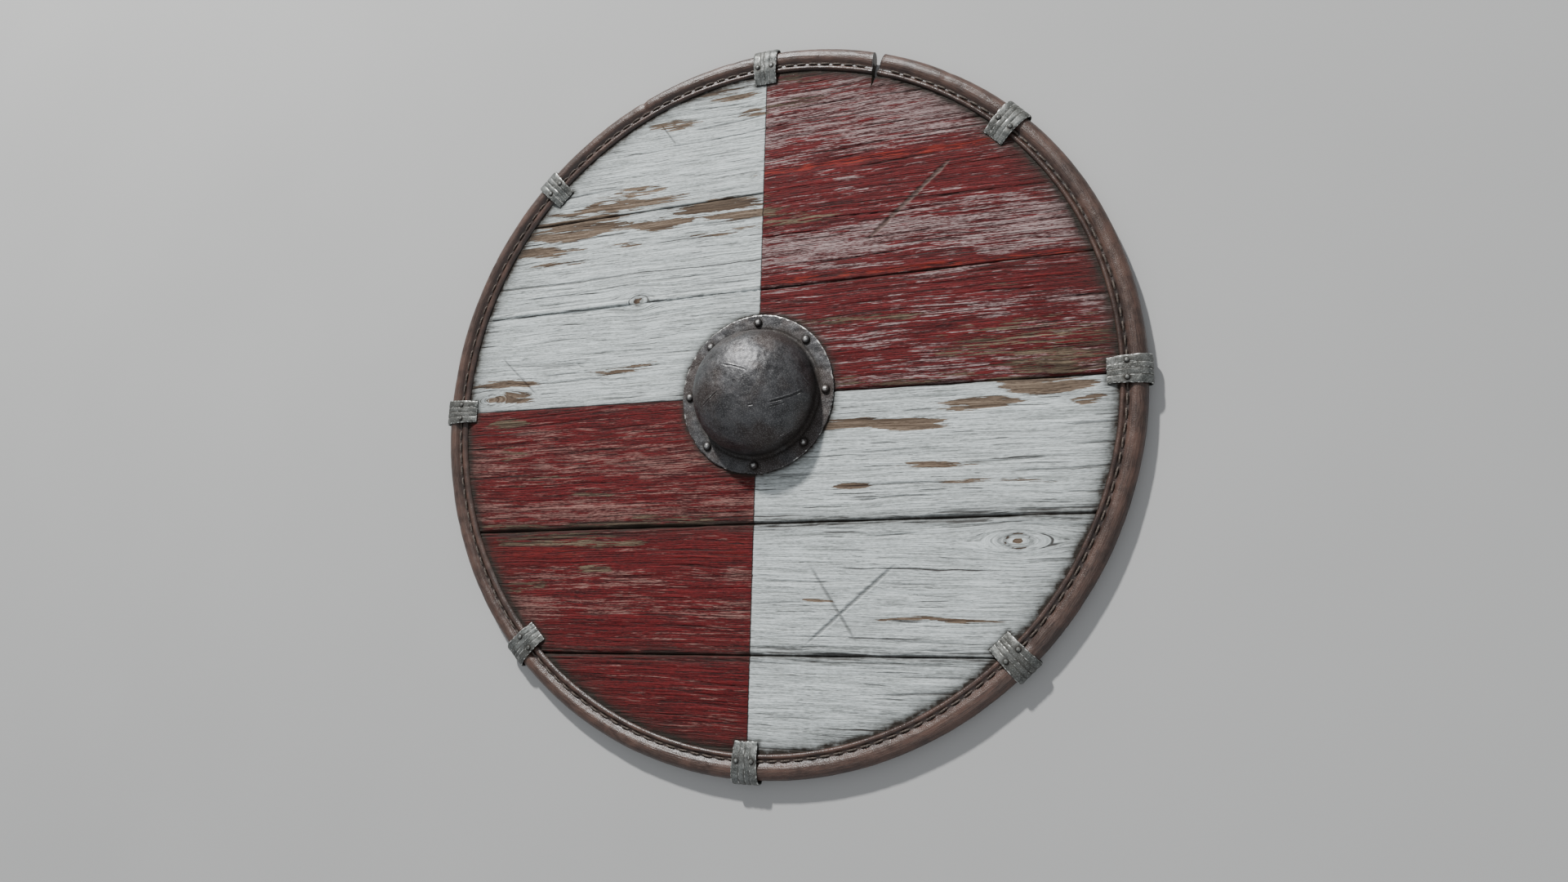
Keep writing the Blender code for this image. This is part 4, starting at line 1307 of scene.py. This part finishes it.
# Where each stripe lies across a clip, from -1 to 1, and how deep it is
CLIP_STRIPES = ((-0.42, 0.9), (0.03, 1.0), (0.44, 0.8))
STRIPE_HALF = 0.060


def make_clip(number, turn):
    seed = number * 11.0
    bm = bmesh.new()
    wear, dirt = bm.verts.layers.float.new("wear"), bm.verts.layers.float.new("dirt")
    bmesh.ops.create_grid(bm, x_segments=CLIP_ROWS, y_segments=CLIP_COLUMNS, size=1.0)
    stations = [place_on_line(CLIP_LINE, row / CLIP_ROWS) for row in range(CLIP_ROWS + 1)]
    outer = bmesh.ops.extrude_face_region(bm, geom=bm.faces[:])["geom"]
    outer = {item for item in outer if isinstance(item, bmesh.types.BMVert)}
    for vert in bm.verts:
        row = round((vert.co.x + 1) / 2 * CLIP_ROWS)
        across = vert.co.y
        spot, heading = stations[row]
        outward = Vector((-heading.y, heading.x))
        narrow = min((spot.x - CLIP_TIP) / (RIM_RADIUS - CLIP_TIP), 1.0)
        half = (CLIP_TIP_WIDTH + CLIP_WIDENS * narrow) / 2
        ragged = noise.noise((row * 0.23, across * 2.0, seed)) - 0.5
        half += 0.0006 * ragged
        end = min(row, CLIP_ROWS - row) / CLIP_ROWS * 0.11
        rim = min((1 - abs(across)) * half, end)
        lift = 0.0
        edge = math.exp(-rim / 0.0011)
        if vert in outer:
            wobble = row * 0.05
            stripe = 0.0
            for place, deep in CLIP_STRIPES:
                bend = 0.07 * noise.noise((wobble, place * 9.0, seed))
                off = (across - place - bend) / STRIPE_HALF
                stripe = max(stripe, deep * math.exp(-off * off))
            dent = noise.noise((row * 0.16, across * 3.0, seed + 5.0)) - 0.3
            lift = CLIP_THICKNESS - 0.00042 * stripe + 0.00040 * min(dent, 0.0) - 0.00065 * edge
            # The hollows of the stripes and a ring round each rivet are darkened, as dirt and as painted
            # shade.
            vert[dirt] = 0.55 * stripe
            chip = noise.noise((row * 0.5, across * 9.0, seed + 2.0))
            beside = math.exp(-((stripe - 0.35) / 0.16) ** 2)
            vert[wear] = min(1.0, edge * (0.50 + 1.3 * chip) + beside * (0.62 + 1.2 * chip) + 0.06)
            for side in (-1, 1):
                near = math.hypot(spot.x - STITCH_RADIUS, across * half - side * CLIP_RIVET_SIDE)
                if spot.y < 0:
                    lift -= 0.0005 * ease((0.0034 - near) / 0.001)
                vert[dirt] = max(vert[dirt], 0.8 * math.exp(-(max(near - 0.003, 0.0) / 0.0014)))
        if spot.x < CLIP_TIP + 0.0006:
            spot = spot + Vector((0.0007 * (noise.noise((across * 3.0, seed, 1.0)) + 0.5), 0.0))
        placed = spot + outward * lift
        height = MIDDLE + placed.y
        vert.co = (placed.x, across * half, max(height, 0.0))
    bmesh.ops.recalc_face_normals(bm, faces=bm.faces[:])
    bmesh.ops.rotate(bm, verts=bm.verts[:], matrix=Matrix.Rotation(turn, 3, "Z"), cent=(0, 0, 0))
    return as_piece(f"hammered_clip_{number}", bm, (CLIP_IRON,), [f"clip_{number}"],
                    sharp=50.0)


for number, turn in enumerate(CLIP_TURNS, start=1):
    make_clip(number, turn)

# %% [markdown]
# A rivet is a small pin with a head that the hammer rounded, so its outline is spun like a knob on a
# lathe. The heads aren't perfect: noise knocks each one a little out of round. Two sizes are needed,
# one for the clips and one for the boss, and both reach right through to the back.

# %% Rivets: one outline, spun and knocked
def rivet_outline(head, rise, seat, shank, tail, tail_top, end):
    """From the crown over the head and down the pin to its other end."""
    points = [(head * math.sin(turn), seat + rise * math.cos(turn) ** 0.9)
              for turn in (math.pi / 2 * step / 8 for step in range(8))]
    points += [(head, seat + rise * 0.12), (head * 0.97, seat), (shank, seat)]
    points += [(shank, tail_top), (tail, tail_top), (tail, (tail_top + end) / 2), (tail * 0.6, end)]
    return points + [(0.0, end)]


def spun(outline, steps):
    """A round body from an outline that starts and ends on the axis."""
    bm = bmesh.new()
    verts = [bm.verts.new((radius, 0.0, height)) for radius, height in outline]
    edges = [bm.edges.new(pair) for pair in zip(verts, verts[1:])]
    bmesh.ops.spin(bm, geom=verts + edges, cent=(0, 0, 0), axis=(0, 0, 1), angle=math.tau,
                   steps=steps, use_merge=True)
    bmesh.ops.remove_doubles(bm, verts=bm.verts[:], dist=0.000005)
    bmesh.ops.recalc_face_normals(bm, faces=bm.faces[:])
    return bm


def make_rivet(name, node, place, outline, steps, material, seed, bright):
    bm = spun(outline, steps)
    wear, dirt = bm.verts.layers.float.new("wear"), bm.verts.layers.float.new("dirt")
    head = outline[8][0]
    for vert in bm.verts:
        bump = noise.noise(vert.co * 380.0 + Vector((seed, 0.0, 0.0)))
        radius = math.hypot(vert.co.x, vert.co.y)
        if vert.co.z > outline[9][1] + 0.0001:
            vert.co.z -= 0.00030 * (bump + 0.6)
            # The crown is painted bright, as worn metal and as a painted highlight, and the rim of the
            # head dark, as dirt and as painted shade.
            crown = 1.0 - radius / head
            vert[wear] = ease(crown * 1.2) * bright
            vert[dirt] = ease((0.45 - crown) * 2.5) * 0.8
    bmesh.ops.translate(bm, verts=bm.verts[:], vec=(*place, 0.0))
    return as_piece(name, bm, (material,), [node])


clip_seat = MIDDLE + CLIP_INSIDE + CLIP_THICKNESS - 0.0001
clip_pin = rivet_outline(0.0029, 0.0017, clip_seat, 0.0011, 0.0022, 0.0012, 0.0001)
for number, turn in enumerate(CLIP_TURNS, start=1):
    for letter, side in (("a", 1), ("b", -1)):
        make_rivet(f"clip_pin_{number}{letter}", f"clip_rivet_{number}{letter}",
                   at_turn(STITCH_RADIUS, turn, side * CLIP_RIVET_SIDE), clip_pin, 14, CLIP_IRON,
                   number * 3.0 + side, 0.42)

FLANGE_FRONT = 0.0176
BOSS_PIN_CIRCLE = 0.0845
# The boss's pins stand in line with the clips
PIN_TURNS = CLIP_TURNS
boss_short = rivet_outline(0.0050, 0.0034, FLANGE_FRONT + 0.0001, 0.0018, 0.0036, 0.0072, 0.0056)
boss_long = rivet_outline(0.0050, 0.0034, FLANGE_FRONT + 0.0001, 0.0018, 0.0026, 0.0012, 0.0002)
for number, turn in enumerate(PIN_TURNS):
    pin = boss_long if number % 4 == 0 else boss_short
    make_rivet(f"boss_pin_{number + 1}", f"boss_rivet_{number + 1}", at_turn(BOSS_PIN_CIRCLE, turn),
               pin, 24, BOSS_IRON, number * 5.0, 0.62)

# %% [markdown]
# The boss was raised from one sheet of iron with a hammer. Its outline, outside and inside, is one
# closed line that is spun, so it has a true wall. Hammer marks are shallow dishes with soft ridges
# between them: the distance to the nearest of many scattered points has just that shape. Blades left
# slashes, which are cut along a plane through the middle of the dome, so each is a straight nick.

# %% Boss: outline and spin
DOME_RADIUS, DOME_RISE, DOME_FOOT = 0.074, 0.057, 0.0206
FULLNESS = 2.15
FILLET = 0.003
WALL = 0.002
BOSS_STEPS = 232


def dome_point(share, radius, rise):
    turn = math.pi / 2 * share
    up = math.cos(turn) ** (2 / FULLNESS) if share < 1.0 else 0.0
    return radius * math.sin(turn) ** (2 / FULLNESS), DOME_FOOT + rise * up


outside = [dome_point(step / 64, DOME_RADIUS, DOME_RISE) for step in range(65)]
outside += [(DOME_RADIUS + FILLET * (1 - math.cos(turn)), DOME_FOOT - FILLET * math.sin(turn))
            for turn in (math.pi / 8, math.pi / 4, math.pi * 3 / 8, math.pi / 2)]
outside += [(0.077 + (FLANGE_RADIUS - 0.0005 - 0.077) * step / 14, FLANGE_FRONT)
            for step in range(1, 15)]
edge = [(FLANGE_RADIUS, FLANGE_FRONT - 0.0005), (FLANGE_RADIUS, FLANGE_FRONT - 0.0015),
        (FLANGE_RADIUS - 0.0005, FLANGE_FRONT - WALL)]
inside = [(0.088, FLANGE_FRONT - WALL), (0.080, FLANGE_FRONT - WALL)]
inside += [(DOME_RADIUS + 0.0004, FLANGE_FRONT - WALL + 0.0006)]
inside += [dome_point(1 - step / 22, DOME_RADIUS - WALL, DOME_RISE - WALL) for step in range(23)]

bm = spun(outside + edge + inside, BOSS_STEPS)
print("the boss's outline has", len(outside + edge + inside), "points")

# %% Boss: the slashes
DOME_MIDDLE = Vector((0.0, 0.0, 0.018))
# Two ends on the dome, half width, depth
SLASHES = (
    (Vector((0.034, -0.025, 0.069)), Vector((0.070, -0.004, 0.041)), 0.0012, 0.0012),
    (Vector((0.034, -0.029, 0.067)), Vector((0.057, -0.021, 0.057)), 0.0010, 0.0007),
    (Vector((0.033, -0.061, 0.042)), Vector((0.0553, -0.046, 0.036)), 0.0011, 0.0011),
    (Vector((0.013, -0.027, 0.073)), Vector((0.020, -0.026, 0.072)), 0.0012, 0.0007),
    (Vector((0.063, 0.012, 0.0505)), Vector((0.0722, 0.001, 0.0352)), 0.0009, 0.0006),
    (Vector((-0.045, -0.022, 0.058)), Vector((-0.020, -0.008, 0.073)), 0.0010, 0.0005),
    (Vector((-0.020, 0.022, 0.071)), Vector((0.012, 0.012, 0.075)), 0.0012, 0.0005),
)


def slash_wear(place):
    """Depth of the slashes at a point of the dome, and how bright their edges are."""
    depth = bright = 0.0
    arm = place - DOME_MIDDLE
    for start, end, half, deep in SLASHES:
        first, second = start - DOME_MIDDLE, end - DOME_MIDDLE
        normal = first.cross(second).normalized()
        whole = first.angle(second)
        flat = arm - normal * arm.dot(normal)
        part = first.angle(flat) / whole
        if first.cross(flat).dot(normal) < 0 or part > 1.25 or flat.dot(first) < 0:
            continue
        taper = ease(min(part, 1.0 - part) * 4.0 + 0.1) if part < 1.02 else 0.0
        ragged = noise.noise(place * 170.0)
        sideways = arm.dot(normal) / half + 0.5 * noise.noise(place * 90.0)
        groove = max(0.0, 1.0 - abs(sideways))
        lip = math.exp(-((abs(sideways) - 1.4) / 0.6) ** 2)
        depth += deep * (groove - 0.40 * lip) * taper
        bright = max(bright, lip * ease(0.45 + 1.3 * ragged) * 0.60 * taper)
    return depth, bright


def near_slash(place):
    """Whether a point of the dome is close to one of the slashes."""
    arm = place - DOME_MIDDLE
    for start, end, half, _ in SLASHES:
        first, second = start - DOME_MIDDLE, end - DOME_MIDDLE
        off = abs(arm.dot(first.cross(second).normalized()))
        along = (place - (start + end) / 2).length
        if off < half + 0.0035 and along < (start - end).length * 0.6 + 0.003:
            return place.z > DOME_FOOT
    return False


# %% [markdown]
# The mesh is made finer along the slashes first. Then the dome is pushed in by the hammer's dishes,
# by pits, wide dents and slashes, the flange is beaten a little wavy, and its rim is chipped.

# %% Boss: hammer it
DOME_ENDS, BEATEN_FROM = 0.0775, 0.0885
wear, dirt = bm.verts.layers.float.new("wear"), bm.verts.layers.float.new("dirt")
near = {vert for vert in bm.verts if near_slash(vert.co)}
fine = [edge for edge in bm.edges if edge.verts[0] in near and edge.verts[1] in near]
bmesh.ops.subdivide_edges(bm, edges=fine, cuts=3, use_grid_fill=True)
print("boss:", len(bm.faces), "faces,", len(fine), "edges divided at the slashes")
bm.normal_update()
normals = {vert: vert.normal.copy() for vert in bm.verts}
for vert in bm.verts:
    radius = math.hypot(vert.co.x, vert.co.y)
    normal = normals[vert]
    outer = normal.dot(vert.co - DOME_MIDDLE) > 0 or (radius > 0.076 and normal.z > 0.1)
    if radius < DOME_ENDS and outer:
        distances, _ = noise.voronoi(vert.co * 62.0)
        dish = distances[0] - 0.75
        pit = noise.noise(vert.co * 210.0) - 0.4
        rough_patch = ease((noise.noise(vert.co * 24.0 + Vector((3, 1, 2))) + 0.25) * 2.5)
        wide_dent = noise.noise(vert.co * 38.0 + Vector((8, 2, 5))) - 0.5
        depth, bright = slash_wear(vert.co)
        push = 0.00042 * min(dish, 0.0) + 0.00030 * rough_patch * min(pit, 0.0) - depth - 0.0002
        push += 0.00060 * min(wide_dent, 0.0)
        vert[wear] = bright
        # The foot of the dome is darkened, as dirt and as painted shade in the crease.
        foot = (radius - 0.066) / 0.010
        vert[dirt] = 0.55 * ease(foot) * ease((0.036 - vert.co.z) / 0.016)
        vert.co += normal * push
    elif radius >= DOME_ENDS and normal.z > 0.1:
        turn = math.atan2(vert.co.y, vert.co.x)
        beat = noise.noise(vert.co * 95.0)
        vert.co.z += 0.00035 * beat - 0.0003
        rim = math.exp(-(FLANGE_RADIUS - radius) / 0.0022)
        # The worn rim is painted brighter on its upper side, where the lamp lights it: a painted
        # highlight.
        lit_side_highlight = 0.55 + 0.45 * math.sin(turn + 0.2)
        chipped = noise.noise((math.cos(turn) * 22.0, math.sin(turn) * 22.0, 12.0)) + 0.15
        vert[wear] = rim * (0.16 + 0.36 * lit_side_highlight + 0.60 * chipped) + 0.15 * beat + 0.06
        # The flange beside the dome and round each pin is darkened, as dirt and as painted shade.
        vert[dirt] = 0.8 * math.exp(-(radius - DOME_ENDS) / 0.0030)
        for pin_turn in PIN_TURNS:
            pin_x, pin_y = at_turn(BOSS_PIN_CIRCLE, pin_turn)
            away = math.hypot(vert.co.x - pin_x, vert.co.y - pin_y)
            vert[dirt] = max(vert[dirt], 0.75 * math.exp(-max(away - 0.005, 0.0) / 0.0018))
    if radius > BEATEN_FROM:
        turn = math.atan2(vert.co.y, vert.co.x)
        pull = ease((radius - BEATEN_FROM) / 0.006)
        uneven = 0.5 + 0.5 * noise.noise((math.cos(turn) * 3.1, math.sin(turn) * 3.1, 7.0))
        chip = max(0.0, noise.noise((math.cos(turn) * 14.0, math.sin(turn) * 14.0, 3.0)) - 0.1)
        inward = pull * (0.0016 * uneven + 0.0016 * chip)
        vert.co.x *= 1 - inward / radius
        vert.co.y *= 1 - inward / radius
as_piece("hammered_boss", bm, (BOSS_IRON,), ["boss"], sharp=60.0)

# %% [markdown]
# The handle lies behind the board: a flat lath that is riveted at both sides of the hole and swells
# into a round grip across it. A tube with many rings is laid along it, and each ring is reshaped to a
# rounded rectangle, flat on the lath and nearly round on the grip. Hands have darkened the grip.

# %% Handle: sections of the lath and the grip
LATH_BACK, LATH_DEPTH, LATH_CORNER = 0.0005, 0.0065, 0.0015
LATH_HALF, LATH_WIDTH, LATH_NARROWS = 0.3835, 0.040, 0.016
GRIP_HALF, GRIP_RUN = 0.0577, 0.016
GRIP_WIDTH, GRIP_DEPTH = 0.029, 0.020
AROUND, ALONG = 44, 150


def handle_section(y):
    """Half width, depth and corner radius of the handle at a place."""
    grip = ease((GRIP_HALF - abs(y)) / GRIP_RUN)
    lath = LATH_WIDTH - LATH_NARROWS * abs(y) / LATH_HALF
    width = lath + (GRIP_WIDTH - lath) * grip
    depth = LATH_DEPTH + (GRIP_DEPTH - LATH_DEPTH) * grip
    corner = LATH_CORNER + (min(width, depth) / 2 - LATH_CORNER) * 0.86 * grip
    return width / 2, depth, corner, grip


def on_rounded_rectangle(share, half, depth, corner):
    """A point at a share of the way round, and the direction that faces out of it."""
    flat_x, flat_z = half - corner, depth / 2 - corner
    arc = math.pi / 2 * corner
    sides = (2 * flat_z, arc, 2 * flat_x, arc, 2 * flat_z, arc, 2 * flat_x, arc)
    middles = ((flat_x, flat_z), (-flat_x, flat_z), (-flat_x, -flat_z), (flat_x, -flat_z))
    starts = ((half, -flat_z), None, (flat_x, depth / 2), None,
              (-half, flat_z), None, (-flat_x, -depth / 2), None)
    left = share * sum(sides)
    for index, length in enumerate(sides):
        if left <= length or index == 7:
            break
        left -= length
    facing = math.pi / 2 * (index // 2)
    if index % 2:
        facing += left / corner
        x, z = middles[index // 2]
        return x + corner * math.cos(facing), z + corner * math.sin(facing), facing
    x, z = starts[index]
    return x - math.sin(facing) * left, z + math.cos(facing) * left, facing


bm = bmesh.new()
bmesh.ops.create_cone(bm, cap_ends=True, segments=AROUND, radius1=1.0, radius2=1.0, depth=2.0)
upright = [edge for edge in bm.edges if abs(edge.verts[0].co.z - edge.verts[1].co.z) > 1.0]
bmesh.ops.subdivide_edges(bm, edges=upright, cuts=ALONG - 1)
layers = {"grain": bm.verts.layers.float_vector.new("grain")}
for name in ("held", "dirt"):
    layers[name] = bm.verts.layers.float.new(name)
for vert in bm.verts:
    share = (math.atan2(vert.co.y, vert.co.x) % math.tau) / math.tau
    y = vert.co.z * LATH_HALF
    half, depth, corner, grip = handle_section(y)
    x, z, facing = on_rounded_rectangle(share, half, depth, corner)
    round_it = share * (4 * half + 2 * depth)
    ridge = noise.noise((y * 9.0, round_it * 170.0, 50.0)) - 0.4
    inward = (0.00026 * (1 - grip) + 0.00010) * min(ridge, 0.0)
    hand = 0.0007 * grip * (0.5 + 0.5 * math.cos(y * math.tau / 0.024))
    x += (inward - hand) * math.cos(facing)
    z += (inward - hand * 0.6) * math.sin(facing)
    vert.co = (x, y, LATH_BACK + depth / 2 + z)
    vert[layers["grain"]] = (y, round_it, 0.0)
    vert[layers["held"]] = grip
    near_board = 0.6 if z > 0 and grip < 0.3 else 0.0
    vert[layers["dirt"]] = max(near_board, 0.45 * math.exp(-(LATH_HALF - abs(y)) / 0.01))
bmesh.ops.recalc_face_normals(bm, faces=bm.faces[:])

material, add = new_material("oiled_handle_wood")
place = add.place()
grain, held = add.attribute("grain", "Vector"), add.attribute("held")
pale = add.mix(held, rgb(0.32, 0.215, 0.130), rgb(0.20, 0.115, 0.060))
dusky = add.mix(held, rgb(0.11, 0.068, 0.040), rgb(0.075, 0.040, 0.022))
values = {"Grain": grain, "Dark": dusky, "Light": pale, "Seed": 90.0}
tone = add.group(bare_wood, values)
relief = add.times(add.group(bare_wood, values, output="Height"), 2.2)
tone = add.group(grime_and_shade, {"Colour": tone, "Dirt": add.attribute("dirt"), "Place": place})
roughness = add.minus(0.66, add.times(held, 0.24))
HANDLE_WOOD = end_material(material, tone, roughness, relief, specular=0.4)
as_piece("shaped_handle", bm, (HANDLE_WOOD,), ["handle"], sharp=50.0)

# %% [markdown]
# The studio is plain: a pale floor just under the shield, an even pale surround that gives soft
# light from all sides, and a lamp above the top of the shield, low enough to rake over the planks:
# ridges only show when light comes from the side. It throws the boss's shadow down and to the right.
# A broad, weak lamp across from it keeps the near side of the edging and the clips from going black.

# %% Floor, surround and lamps
bm = bmesh.new()
bmesh.ops.create_grid(bm, x_segments=8, y_segments=8, size=6.0)
bmesh.ops.translate(bm, verts=bm.verts[:], vec=(0.0, 0.0, -0.0003))
floor_mesh = bpy.data.meshes.new("studio_floor")
bm.to_mesh(floor_mesh)
bm.free()
material, add = new_material("pale_floor")
place = add.place()
cloudy = add.noise(place, 3.0, 3.0)
floor_tone = add.mix(cloudy, rgb(0.50, 0.50, 0.495), rgb(0.55, 0.55, 0.545))
floor_mesh.materials.append(end_material(material, floor_tone, 0.85, cloudy, specular=0.2))
floor = new_object("studio_floor", floor_mesh)


def add_lamp(name, place, size, watts, tint):
    lamp = bpy.data.lights.new(name, "AREA")
    lamp.size = size
    lamp.energy = watts
    lamp.color = tint
    item = new_object(name, lamp)
    item.location = place
    item.rotation_euler = (-Vector(place)).to_track_quat("-Z", "Y").to_euler()
    return item


add_lamp("upper_lamp", (-1.34, 3.74, 2.70), 0.24, 318.0, (1.0, 1.0, 0.985))
add_lamp("broad_fill", (0.9, -1.6, 2.4), 2.2, 8.0, (0.96, 0.98, 1.0))
surround = bpy.data.worlds.new("pale_surround")
surround.use_nodes = True
backdrop = surround.node_tree.nodes["Background"]
backdrop.inputs["Color"].default_value = rgb(0.93, 0.96, 1.0)
backdrop.inputs["Strength"].default_value = 0.375
bpy.context.scene.world = surround
